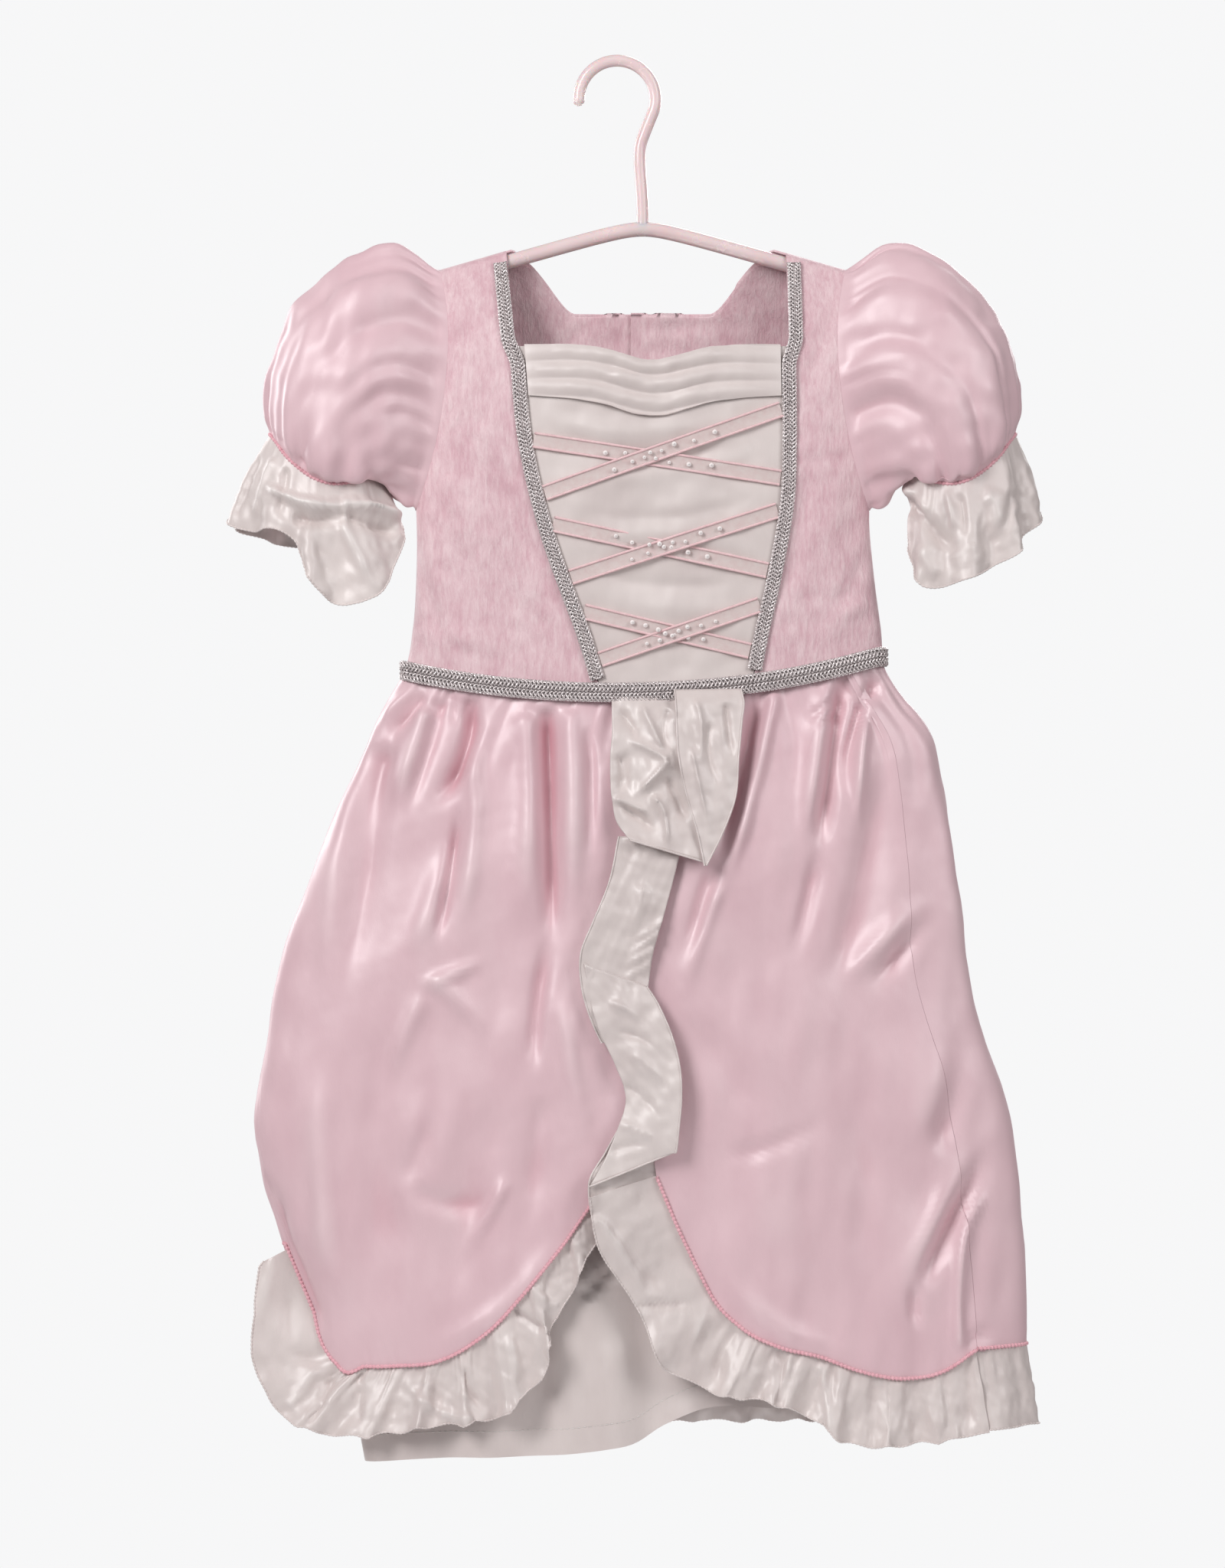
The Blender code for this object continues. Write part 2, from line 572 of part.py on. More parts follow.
def wall(name, grid, thick, finish, closed=False, flip=False):
    """A cloth wall: rows of points on its outside, thickened inwards. A closed wall's rows join up."""
    rows, columns = grid.shape[:2]
    points = (grid.reshape(-1, 3) + (DRESS_X, 0, 0)) * MM
    faces = []
    for r in range(rows - 1):
        for c in range(columns if closed else columns - 1):
            d = (c + 1) % columns
            face = (r * columns + c, (r + 1) * columns + c, (r + 1) * columns + d, r * columns + d)
            faces.append(face[::-1] if flip else face)
    mesh = bpy.data.meshes.new(name)
    mesh.from_pydata(points.tolist(), [], faces)
    mesh.update()
    made = place(name, mesh, finish)
    solid = made.modifiers.new("thickness", "SOLIDIFY")
    solid.thickness = thick * MM
    solid.offset = -1.0


def sheet(name, shape, columns, rows, thick, finish):
    """A wall sampled from a shape, at evenly spaced rows and columns or at given ones."""
    rows = np.linspace(0, 1, rows) if np.isscalar(rows) else rows
    columns = np.linspace(0, 1, columns + 1) if np.isscalar(columns) else columns
    across, down = np.meshgrid(columns, rows)
    wall(name, shape(across, down), thick, finish)


def tube(name, shape, columns, rows, thick, finish, flip=False):
    """A wall that closes round, sampled from a shape."""
    across, down = np.meshgrid(np.arange(columns) / columns, np.linspace(0, 1, rows))
    wall(name, shape(across, down), thick, finish, closed=True, flip=flip)


# Bodice


def hang(top, bottom, t, start=CAP_START):
    """Height of a row: the first few bend over the hanger's arm, the rest share the way down."""
    angle = start + (math.pi / 2 - start) * np.minimum(1, t / CAP_SHARE)
    rest = np.clip((t - CAP_SHARE) / (1 - CAP_SHARE), 0, 1)
    cap = top - SHOULDER_RADIUS * (1 - np.cos(angle))
    return cap + (bottom - cap) * rest


def armhole_share(z, sign):
    """Girth share of the front edge of an armhole, or of the side seam below it."""
    side = SIDE_SHARE if sign < 0 else 0.5 - SIDE_SHARE
    return np.where(z > UNDERARM_Z, share_at(z, sign * read(ARMHOLE, "z", "x", z)), side)


def side_front(sign):
    """Velvet side front, from the princess line to the armhole and the side seam."""
    column = "left" if sign < 0 else "right"

    def share(z, outward):
        inner = share_at(z, read(PRINCESS, "z", column, z) + sign * SEAM)
        return inner + (armhole_share(z, sign) - inner) * outward

    def shape(across, t):
        outward = 1 - across if sign < 0 else across
        top = shoulder_z(STRAP_INNER + (STRAP_OUTER - STRAP_INNER) * outward)
        bottom = WAIST_GUESS
        for _ in range(4):
            top = shoulder_z(spot(top, share(top, outward))[..., 0])
            z = hang(top, bottom, t)
            s = share(z, outward)
            bottom = waist_z(spot(z, s)[..., 0], True) + WAIST_SEAM
        belly = SIDE_BULGE * np.sin(math.pi * across) * np.sin(math.pi * t) ** 2
        return body_point(z, s, belly)

    return shape


def neck_z(x):
    """Front neckline: nearly square, with a shallow dip at the centre."""
    return NECK_Z - NECK_DIP * np.exp(-(((x - NECK_DIP_X) / NECK_DIP_HALF) ** 2))


def centre_front(across, t):
    """White satin centre front, between the princess lines."""
    z = UNDERARM_Z + 0 * across
    for _ in range(6):
        left = read(PRINCESS, "z", "left", z) + SEAM
        right = read(PRINCESS, "z", "right", z) - SEAM
        x = left + (right - left) * across
        z = neck_z(x) + (waist_z(x, True) + WAIST_SEAM - neck_z(x)) * t
    return front_point(x, z)


def neck_drape(across, t):
    """White satin laid in three soft folds along the neckline, between the braids."""
    margin = PRINCESS_BRAID / 2 + DRAPE_MARGIN
    guess = NECK_Z - DRAPE_HEIGHT * t
    left = read(PRINCESS, "z", "left", guess) + margin
    right = read(PRINCESS, "z", "right", guess) - margin
    x = left + (right - left) * across
    z = neck_z(x) + DRAPE_RISE - DRAPE_HEIGHT * t - DRAPE_SAG * np.sin(math.pi * across) * t
    inner = np.sqrt(np.sin(math.pi * across))
    fold = np.abs(np.sin(DRAPE_FOLDS * math.pi * t + 0.6 * np.sin(4 * across))) * inner
    return front_point(x, z, SATIN + 0.5 + DRAPE_FOLD * fold)


def half_back(sign):
    """Velvet back, from the centre back to the armhole and the side seam. The left one laps over."""

    def share(z, inward):
        outer = 1 - armhole_share(z, sign)
        centre = 1 - share_at(z, -sign * BACK_LAP)
        return outer + (centre - outer) * inward

    def shape(across, t):
        k = 1 - across if sign < 0 else across
        turn = np.clip((k - STRAP_SHARE) / STRAP_TURN, 0, 1)
        start = CAP_START + (math.pi / 2 - CAP_START) * turn
        strap = shoulder_z(STRAP_OUTER) + 0 * k
        bottom = WAIST_GUESS
        for _ in range(4):
            strap = shoulder_z(spot(strap, share(strap, np.minimum(k, STRAP_SHARE)))[..., 0])
            top = strap - BACK_SCOOP * ease(STRAP_SHARE + STRAP_TURN, SCOOP_SHARE, k)
            z = hang(top, bottom, t, start)
            s = share(z, k)
            bottom = waist_z(spot(z, s)[..., 0], False) + WAIST_SEAM
        under = ease(*LAP_SHARES, k) * LAP_DEPTH if sign > 0 else 0 * k
        return body_point(z, s, -under)

    return shape


# Braids and ribbons


def band(path_x, path_z, width, out):
    """A flat strip laid on the front along a path, out giving its outside."""
    heading = np.stack([np.gradient(path_x), np.gradient(path_z)])
    heading /= np.hypot(*heading)
    edges = []
    for side in (width / 2, -width / 2):
        edges.append(front_point(path_x + heading[1] * side, path_z - heading[0] * side, out))
    return np.stack(edges, axis=1)


def princess_braid(column, sign):
    """Braid on a princess line, carried on up the inner edge of the strap."""
    foot_x = read(PRINCESS, "z", column, WAIST_GUESS)
    z = np.linspace(BRAID_TOP, waist_z(foot_x, True) + WAIST_BRAID / 2 + BRAID_FOOT, 19)
    on_strap = ease(*STRAP_JOIN, z) * sign * (PRINCESS_BRAID / 2 + 0.4)
    return band(read(PRINCESS, "z", column, z) + on_strap, z, PRINCESS_BRAID, BRAID_LIFT + BRAID_THICK)


def waist_braid(across, t):
    """Braid round the waist seam."""
    s = across - BRAID_CROWDING * np.sin(4 * math.pi * across) / (4 * math.pi)
    z = waist_z(spot(WAIST_GUESS + 0 * s, s)[..., 0], s < 0.5) + WAIST_BRAID * (0.5 - t)
    return body_point(z, s, BRAID_LIFT + BRAID_THICK)


def lace(left_z, right_z, over):
    """A lacing ribbon between the two braids."""
    left_x = read(PRINCESS, "z", "left", left_z) + RIBBON_END
    right_x = read(PRINCESS, "z", "right", right_z) - RIBBON_END
    t = np.linspace(0, 1, 11)
    hump = np.sin(math.pi * t) ** 2 * RIBBON_RISE if over else 0 * t
    out = RIBBON_LIFT + RIBBON_THICK + hump
    return band(left_x + (right_x - left_x) * t, left_z + (right_z - left_z) * t, RIBBON_WIDE, out)


# Skirts


def fold_field(x, z, folds):
    """Height that hand-placed folds add at points of the front or the back."""
    height = np.zeros_like(x)
    rows = zip(*(folds[name] for name in FOLD_COLUMNS.split()))
    for x0, z0, x1, z1, x2, z2, width, peak, rise, fall in rows:
        t = np.linspace(0, 1, FOLD_STEPS + 1)[:, None]
        start, middle, end = np.array([[x0, z0]]), np.array([[x1, z1]]), np.array([[x2, z2]])
        control = 2 * middle - (start + end) / 2
        path = (1 - t) ** 2 * start + 2 * t * (1 - t) * control + t**2 * end
        near = np.full_like(x, np.inf)
        along = np.zeros_like(x)
        for step in range(FOLD_STEPS):
            (ax, az), (dx, dz) = path[step], path[step + 1] - path[step]
            part_way = np.clip(((x - ax) * dx + (z - az) * dz) / (dx * dx + dz * dz), 0, 1)
            distance = np.hypot(x - ax - part_way * dx, z - az - part_way * dz)
            along = np.where(distance < near, (step + part_way) / FOLD_STEPS, along)
            near = np.minimum(near, distance)
        taper = ease(0, rise, along) * (1 - ease(1 - fall, 1, along))
        height += peak * taper * np.exp(-((near / width) ** 2))
    return height


def overskirt(start, end, hem_share, hem_z, pleats, folds):
    """A satin panel pleated at the waist. Its two edges are given as girth shares by height."""

    def shape(across, t):
        hem = smooth(hem_share, hem_z, across)
        top = WAIST_GUESS + 0 * across
        for _ in range(4):
            seam = start(top) + (end(top) - start(top)) * across
            top = waist_z(spot(top, seam)[..., 0], seam < 0.5) - WAIST_SEAM
        z = top + (hem - top) * t
        s = start(z) + (end(z) - start(z)) * across
        pleat = read(PLEATS, "drop", "height", top - z) * np.sin(2 * math.pi * pleats * across)
        held = np.minimum(1, np.minimum(across, 1 - across) / HELD_SHARE)
        out = (pleat + fold_field(spot(z, s)[..., 0], z, folds) * ease(0, FOLD_START, top - z)) * held
        return body_point(z, s, out - SKIRT_TUCK)

    return shape


def left_side(z):
    """Left side seam."""
    return SKIRT_SHARE + 0 * z


def left_opening(z):
    """Front edge of the left panel."""
    return share_at(z, read(OPENING, "z", "left", z))


def right_opening(z):
    """Front edge of the right panel."""
    return share_at(z, read(OPENING, "z", "right", z))


def right_side(z):
    """Right side seam, on the front panel."""
    return SIDE_SEAM_RIGHT - SKIRT_SHARE + 0 * z


def back_start(z):
    """Right side seam, on the back panel."""
    return SIDE_SEAM_RIGHT + SKIRT_SHARE + 0 * z


def back_end(z):
    """Left side seam, on the back panel."""
    return 1 - SKIRT_SHARE + 0 * z


def front_hem(rows, start, end):
    """Shares across a front panel of its hem table's rows."""
    first, last = start(rows["z"]), end(rows["z"])
    return (share_at(rows["z"], rows["x"]) - first) / (last - first)


def hem_ruffle(panel, columns, shares, reach, lift, waves, facing):
    """A ruffle sewn to a panel's hem. It reaches dx and dz from there, and faces the front where facing is -1."""

    def shape(across, t):
        along = shares[0] + (shares[-1] - shares[0]) * across
        column = np.clip(np.searchsorted(columns, along, side="right") - 1, 0, len(columns) - 2)
        before, after = columns[column], columns[column + 1]
        part_way = ((along - before) / (after - before))[..., None]
        hem = np.ones_like(along)
        root = panel(before, hem) * (1 - part_way) + panel(after, hem) * part_way
        dx, dz = (smooth(shares, values, along) for values in reach)
        t = t + RUFFLE_SEAM / np.hypot(dx, dz) * (1 - t)
        fade = np.minimum(1, 6 * np.minimum(across, 1 - across))
        wave = RUFFLE_WAVE * np.sin(2 * math.pi * waves * across + 0.7 * np.sin(3 * across)) * fade
        out = smooth(shares, lift, along) * t**LIFT_POWER + wave * t**WAVE_POWER
        return root + np.stack([dx * t, facing(along) * out, dz * t], axis=-1)

    return shape


def to_front(along):
    """A front ruffle faces the front all along."""
    return -1.0 + 0 * along


def round_back(along):
    """The back ruffle faces the front as far as the right side, and the back beyond it."""
    corner = (0.5 - SIDE_SEAM_RIGHT) / (1 - SIDE_SEAM_RIGHT)
    return np.clip((along - corner) / corner, -1, 1)


def underskirt(start, end, seed):
    """Plain white satin underskirt, front or back."""

    def shape(across, t):
        crowded = across - UNDER_CROWDING * np.sin(2 * math.pi * across) / (2 * math.pi)
        s = start + SIDE_SHARE + (end - start - 2 * SIDE_SHARE) * crowded
        top_x = spot(WAIST_GUESS + 0 * across, s, UNDERSKIRT["inset"][0])[..., 0]
        top = waist_z(top_x, s < 0.5) - WAIST_SEAM
        hem_x = spot(HEM_GUESS + 0 * across, s, UNDERSKIRT["inset"][-1])[..., 0]
        z = top + (read(UNDER_HEM, "x", "z", hem_x) - top) * t
        edge = np.minimum(1, np.minimum(across, 1 - across) / HELD_SHARE)
        wave = np.sin(2 * math.pi * WAVES_UNDER * across + seed) * edge
        out = read(UNDERSKIRT, "drop", "wave", top - z) * wave
        return body_point(z, s, out, read(UNDERSKIRT, "drop", "inset", top - z))

    return shape


def cascade(across, z):
    """White satin ruffle folded down the front from the waist to where the hem ruffles part."""
    left, right = read(CASCADE, "z", "left", z), read(CASCADE, "z", "right", z)
    x = left + (right - left) * across
    out = read(CASCADE, "z", "out_left", z)
    out = out + (read(CASCADE, "z", "out_right", z) - out) * across
    start = CASCADE["z"].max()
    crown = CASCADE_CROWN * np.sin(math.pi * across) * ease(start, start - 12, z)
    seam = waist_z(x, True) - WAIST_BRAID / 2 - RUFFLE_SEAM
    z = z + (seam - start) * np.clip(1 - (start - z) / CASCADE_HEAD, 0, 1)
    return front_point(x, z - read(CASCADE, "z", "drop", z) * (1 - across), out + crown)


# Sleeves


def puff_ring(angle, along):
    """Point of the right puff sleeve without its gathers, and the way out from its middle."""
    outer_x, outer_z, inner_x, inner_z, depth, sag = (
        read(PUFF, "along", name, along)
        for name in ("outer_x", "outer_z", "inner_x", "inner_z", "depth", "sag")
    )
    out = np.cos(angle) / 2
    way = np.stack([(outer_x - inner_x) * out, -depth * np.sin(angle), (outer_z - inner_z) * out], axis=-1)
    middle = np.stack([(outer_x + inner_x) / 2, 0 * sag, (outer_z + inner_z) / 2], axis=-1)
    droop = np.stack([0 * sag, 0 * sag, sag * np.sin(angle) ** 2], axis=-1)
    return middle + way - droop, way / np.linalg.norm(way, axis=-1)[..., None]


def armhole_ring(angle):
    """The armhole as a ring: the shoulder at angle 0, the front at a quarter turn, the underarm at a half."""
    top = PUFF["outer_z"][0]
    z = top + (UNDERARM_Z - top) * (1 - np.cos(angle)) / 2
    x = read(ARMHOLE, "z", "x", z)
    depth = np.abs(front_point(x, z)[..., 1])
    return np.stack([x + ARMHOLE_GAP, -depth * np.sign(np.sin(angle)), z], axis=-1)


def puff(across, t):
    """Right puff sleeve of pink satin, gathered at the armhole and at the cuff."""
    angle = 2 * math.pi * across
    point, way = puff_ring(angle, t)
    start, _ = puff_ring(angle, 0 * t)
    point = point + (armhole_ring(angle) - start) * np.clip(1 - t / ARMHOLE_BLEND, 0, 1)[..., None] ** 2
    wave = np.sin(2 * math.pi * WAVES_SLEEVE * across + 0.4 * np.sin(angle))
    return point + way * (read(SLEEVE_GATHER, "along", "height", t) * wave)[..., None]


def cuff(rows):
    """White satin ruffle round the cuff seam of the right sleeve."""

    def shape(across, t):
        angle = 2 * math.pi * across
        seam = puff(across, np.ones_like(across))
        _, way = puff_ring(angle, np.ones_like(across))
        edge_x, edge_z, height = (
            read(rows, "angle", name, np.degrees(angle)) for name in ("x", "z", "wave")
        )
        down = np.stack([edge_x, -CUFF_DEPTH * np.sin(angle), edge_z], axis=-1) - seam
        t = t + RUFFLE_SEAM / np.linalg.norm(down, axis=-1) * (1 - t)
        wave = height * np.sin(2 * math.pi * WAVES_CUFF * across + 0.8 * np.sin(angle)) * t
        bell = (1 + np.cos(angle)) * np.sin(math.pi * t)
        return seam + down * t[..., None] + way * (1, 1, 0) * (wave + bell)[..., None]

    return shape


def on_left(shape):
    """The same sleeve on the other side."""
    return lambda across, t: shape(across, t) * (-1, 1, 1)


# Hanger


def pipe_mesh(name, points, radius):
    """A round bar through a list of points: a curve made into a closed mesh."""
    curve = bpy.data.curves.new(name, "CURVE")
    curve.dimensions = "3D"
    curve.bevel_depth = radius * MM
    curve.bevel_resolution = 2
    curve.use_fill_caps = True
    spline = curve.splines.new("POLY")
    spline.points.add(len(points) - 1)
    for point, (x, z) in zip(spline.points, points):
        point.co = (x * MM, 0, z * MM, 1)
    bar = bpy.data.objects.new(name, curve)
    bpy.context.scene.collection.objects.link(bar)
    mesh = bpy.data.meshes.new_from_object(bar.evaluated_get(bpy.context.evaluated_depsgraph_get()))
    bpy.data.objects.remove(bar)
    shell = bmesh.new()
    shell.from_mesh(mesh)
    bmesh.ops.remove_doubles(shell, verts=shell.verts, dist=0.01 * MM)
    shell.to_mesh(mesh)
    shell.free()
    return mesh


def hook_path():
    """The hook's arc over the rail, then an easy bend down to the crown of the hanger."""
    radius = HOOK_INSIDE + WIRE_RADIUS
    arc = [math.radians(angle) for angle in range(190, -34, -14)]
    points = [(radius * math.cos(angle), radius * math.sin(angle) - HOOK_INSIDE) for angle in arc]
    crown = (DRESS_X, SHOULDER_Z - SHOULDER_RADIUS - SHOULDER_SLOPE * CROWN_RADIUS)
    return [*points, *HOOK_SHANK, crown]


def arm_path():
    """Both arms of the hanger, under the cloth of the shoulders."""
    x = np.linspace(-ARM_LENGTH, ARM_LENGTH, 31)
    z = SHOULDER_Z - SHOULDER_RADIUS - SHOULDER_SLOPE * np.sqrt(x**2 + CROWN_RADIUS**2)
    return list(zip(x + DRESS_X, z))


def build_hanger():
    """The moulded hanger: hook, crown and arms in one piece."""
    hanger = place("hanger", pipe_mesh("hanger", arm_path(), ARM_RADIUS), "hanger_plastic")
    hook = bpy.data.objects.new("hook", pipe_mesh("hook", hook_path(), WIRE_RADIUS))
    CUTTERS.objects.link(hook)
    hook.hide_render = True
    hook.display_type = "WIRE"
    join = hanger.modifiers.new("hook", "BOOLEAN")
    join.operation = "UNION"
    join.object = hook


# Assembly


def build_bodice():
    """Centre front, side fronts, backs and the drape at the neck."""
    for side, sign in (("left", -1), ("right", 1)):
        front = FRONT_COLUMNS if sign > 0 else 1 - np.flip(FRONT_COLUMNS)
        back = BACK_COLUMNS if sign > 0 else 1 - np.flip(BACK_COLUMNS)
        sheet(f"bodice_side_front_{side}", side_front(sign), front, BODICE_ROWS, VELVET, "pink_velvet")
        sheet(f"bodice_back_{side}", half_back(sign), back, BODICE_ROWS, VELVET, "pink_velvet")
    sheet("bodice_centre_front", centre_front, 8, CENTRE_ROWS, VELVET, "white_satin")
    sheet("neck_drape", neck_drape, 9, 13, SATIN, "white_satin")


def build_trims():
    """Silver braids and the lacing ribbons."""
    for side, sign in (("left", -1), ("right", 1)):
        wall(f"princess_braid_{side}", princess_braid(side, sign), BRAID_THICK, "silver_braid")
    tube("waist_braid", waist_braid, 72, 3, BRAID_THICK, "silver_braid")
    for name, (left_z, right_z, over) in LACES.items():
        wall(name, lace(left_z, right_z, over), RIBBON_THICK, "organza")


def build_skirts():
    """Overskirt panels with their hem ruffles, the cascade and the underskirt."""
    left_hem = front_hem(HEM_LEFT, left_side, left_opening)
    right_hem = front_hem(HEM_RIGHT, right_opening, right_side)
    back_hem = (HEM_BACK["share"] - SIDE_SEAM_RIGHT) / (1 - SIDE_SEAM_RIGHT)
    panels = (
        ("front_left", left_side, left_opening, left_hem, HEM_LEFT, to_front),
        ("front_right", right_opening, right_side, right_hem, HEM_RIGHT, to_front),
        ("back", back_start, back_end, back_hem, HEM_BACK, round_back),
    )
    close_columns = {
        "front_left": TIP_COLUMNS,
        "front_right": 1 - np.array(SEAM_COLUMNS),
        "back": (*SEAM_COLUMNS, *(1 - np.array(TIP_COLUMNS))),
    }
    for name, start, end, shares, hem, facing in panels:
        pleats, ruffles, folds = GATHERING[name]
        panel = overskirt(start, end, shares, hem["z"], pleats, folds)
        columns = np.sort(np.concatenate([np.linspace(0, 1, WAVE_COLUMNS * pleats + 1), close_columns[name]]))
        sheet(f"overskirt_{name}", panel, columns, SKIRT_ROWS, SATIN, "pink_satin")
        if "x" in hem:
            reach = (hem["outer_x"] - hem["x"], hem["outer_z"] - hem["z"])
        else:
            reach = (hem["outer_dx"], hem["outer_dz"])
        ruffle = hem_ruffle(panel, columns, shares, reach, hem["lift"], ruffles, facing)
        sheet(f"hem_ruffle_{name}", ruffle, WAVE_COLUMNS * ruffles, 4, SATIN, "white_satin")
    columns = WAVE_COLUMNS * WAVES_UNDER
    sheet("underskirt_front", underskirt(0.0, 0.5, 0.0), columns, UNDER_ROWS, SATIN, "white_satin")
    sheet("underskirt_back", underskirt(0.5, 1.0, 1.0), columns, UNDER_ROWS, SATIN, "white_satin")
    sheet("front_cascade", cascade, 6, CASCADE["z"], SATIN, "white_satin")


def build_sleeves():
    """Puff sleeves and their cuff ruffles."""
    columns = WAVE_COLUMNS * WAVES_SLEEVE
    tube("sleeve_right", puff, columns, 7, SATIN, "pink_satin", flip=True)
    tube("sleeve_left", on_left(puff), columns, 7, SATIN, "pink_satin")
    columns = WAVE_COLUMNS * WAVES_CUFF
    tube("cuff_ruffle_right", cuff(CUFF_RIGHT), columns, 4, SATIN, "white_satin", flip=True)
    tube("cuff_ruffle_left", on_left(cuff(CUFF_LEFT)), columns, 4, SATIN, "white_satin")


for old in list(bpy.data.objects):
    bpy.data.objects.remove(old)
bpy.context.scene.collection.children.link(DRESS)
bpy.context.scene.collection.children.link(CUTTERS)
build_hanger()
build_bodice()
build_trims()
build_skirts()
build_sleeves()
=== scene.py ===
"""Looks of a child's princess costume dress on its small hanger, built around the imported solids.

Each cloth piece is a thin shell on its solid's form: the same tables and shapes, sampled finely, with
gathers, folds and creases added. Sizes are in millimetres from the centre line of the dress, and are
turned into metres in the row frame when a mesh is made. The front of the dress faces -Y.

A shape is a function of two shares from 0 to 1: across a piece's width, and down its length. A place
on the body is its height z and its share of the girth: 0 is the left side as seen from the front,
0.25 the centre front, 0.5 the right side and 0.75 the centre back.
"""

import json
import math

import bpy
import numpy as np
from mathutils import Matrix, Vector

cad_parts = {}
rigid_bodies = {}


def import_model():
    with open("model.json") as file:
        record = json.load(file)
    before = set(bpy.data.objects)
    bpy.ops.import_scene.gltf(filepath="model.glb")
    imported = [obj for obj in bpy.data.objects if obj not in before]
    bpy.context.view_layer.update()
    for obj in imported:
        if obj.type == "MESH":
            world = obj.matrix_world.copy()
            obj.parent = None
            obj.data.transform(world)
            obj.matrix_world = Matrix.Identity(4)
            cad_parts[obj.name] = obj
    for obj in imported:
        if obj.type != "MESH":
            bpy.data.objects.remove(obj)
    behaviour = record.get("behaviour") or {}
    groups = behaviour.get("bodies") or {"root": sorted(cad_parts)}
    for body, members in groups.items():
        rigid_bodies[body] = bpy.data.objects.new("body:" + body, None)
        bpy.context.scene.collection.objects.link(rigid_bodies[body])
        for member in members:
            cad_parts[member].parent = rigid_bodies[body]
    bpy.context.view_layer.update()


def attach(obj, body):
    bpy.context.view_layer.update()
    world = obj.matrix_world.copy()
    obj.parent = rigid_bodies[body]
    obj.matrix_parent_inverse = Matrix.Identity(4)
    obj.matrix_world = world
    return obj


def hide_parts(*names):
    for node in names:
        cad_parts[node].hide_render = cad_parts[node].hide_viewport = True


MM = 0.001

# Driving sizes
DRESS_X = 15.0  # the dress hangs this far to the right of the hook's seat
SATIN = 1.2  # wall of the skirts, ruffles and sleeves
VELVET = 1.5  # wall of the bodice
SEAM = 0.25  # half of the gap left at a seam
WAIST_SEAM = 0.4  # from the waist line to the bodice above it and the skirt below it
ROUNDNESS = 2.5  # exponent of the body's flattened section
UNDERARM_Z = -261.0
SHOULDER_Z = -85.0  # where the two shoulder lines would meet
SHOULDER_SLOPE = 0.29
ARM_RADIUS = 4.3  # hanger arm
ARM_LENGTH = 146.0
CROWN_RADIUS = 14.0  # how softly the two hanger arms meet
SHOULDER_RADIUS = ARM_RADIUS + 0.8 + VELVET  # outside of the cloth over the arm
CAP_SHARE = 0.03  # the first rows of a bodice piece bend over the arm
CAP_START = 0.15  # radians from the top of the arm where a front or back begins
WIRE_RADIUS = 3.5  # hook
HOOK_INSIDE = 19.0  # inner radius of the hook
STRAP_INNER, STRAP_OUTER = 82.0, 118.0
STRAP_SHARE = 0.34  # part of a half back's width that its strap takes
STRAP_TURN = 0.05  # further part in which the neck's edge turns down behind the arm
BACK_SCOOP = 30.0  # depth of the back neckline
SIDE_SHARE = 0.00005  # girth share left free at each side of the bodice's and underskirt's side seams
SKIRT_SHARE = 0.0001  # the same at the overskirt's side seams
BACK_LAP = 7.0  # the left back reaches this far past the centre back, over the right back
LAP_DEPTH = VELVET + 0.4
BRAID_LIFT = 0.8  # the braid's back lies this far outside the cloth
WAIST_BRAID = 11.0
PRINCESS_BRAID = 8.0
RIBBON_WIDE = 9.5
RIBBON_LIFT = 0.6
RIBBON_RISE = 1.8  # how much higher a ribbon passes over the other
DRAPE_HEIGHT = 30.0  # of the satin folds at the neck
SKIRT_TUCK = 0.5  # the skirt's seam lies this far inside the bodice's outside
RUFFLE_SEAM = 0.8  # gap between a hem or cuff seam and its ruffle
SIDE_SEAM_RIGHT = 0.452  # girth share of the skirt's seam at the right
CUFF_DEPTH = 34.0  # half depth of a cuff ruffle's free edge
WAVES_UNDER = 6  # waves across half of the underskirt
# Sizes that only the looks need
CLOTH, VELVET_CLOTH = 0.7, VELVET - 0.3  # walls of the satin and velvet shells
FOLD_SCALE, CASCADE_SCALE = 2.2, 2.0  # how much deeper the thin cloth's folds are than the solid's
TURN_DEPTH = 14.0  # half depth over which folds fade at the sides of the body
TAPE_SHARE, TAPE_DEPTH = 0.006, 1.6  # half girth share of a seam's allowance, and its depth in the cloth
RIBBON_START = 5.0  # from the princess line to the end of a ribbon, under the braid
CORD_RADIUS = 0.62
CORD_STEP = 0.8
PLAIT_LENGTH = 7.0
LOOP_LENGTH = 2.4  # of one loop of the overlock stitch
BEAD_PLACES = (0.3, 0.38, 0.46, 0.5, 0.56, 0.64, 0.72)
FOLD_STEPS = 10
CRINKLE_WAVES = 14
SIDE_FRONT_COLUMNS, BACK_COLUMNS_FINE, BODICE_ROWS_FINE = 44, 58, 96
SKIRT_ROWS_FINE = 130
RUFFLE_ROWS = 22
RUFFLE_LEFT, RUFFLE_RIGHT, RUFFLE_BACK = 8, 7, 12  # waves along each hem ruffle
WAVES_SLEEVE, WAVES_CUFF = 9, 9
SEAM_START = {"front_left": 2, "front_right": 0, "back": 0}  # first point of a hem's overlocked seam
RUFFLE_BACK_SEED, RUFFLE_LAP = 120, 2.4  # the back ruffle starts this far under the right one
WAIST_Z = -351.0  # of the waist seam at the sides
WAIST_SLOPE = 0.028
WAIST_DIP_FRONT, WAIST_DIP_BACK = 17.0, 6.0
WAIST_HALF = 140.0  # half width over which the waist dips
WAIST_GUESS = UNDERARM_Z - 94  # a height near the waist, to start from
HEM_GUESS = -790.0  # a height near the hem
SHOULDER_BLEND = 90.0  # height over which the shoulder's depth becomes the body's
SHARE_STEP = 0.004  # girth share over which the section's direction is taken
SIDE_BULGE = 1.4  # of the side fronts
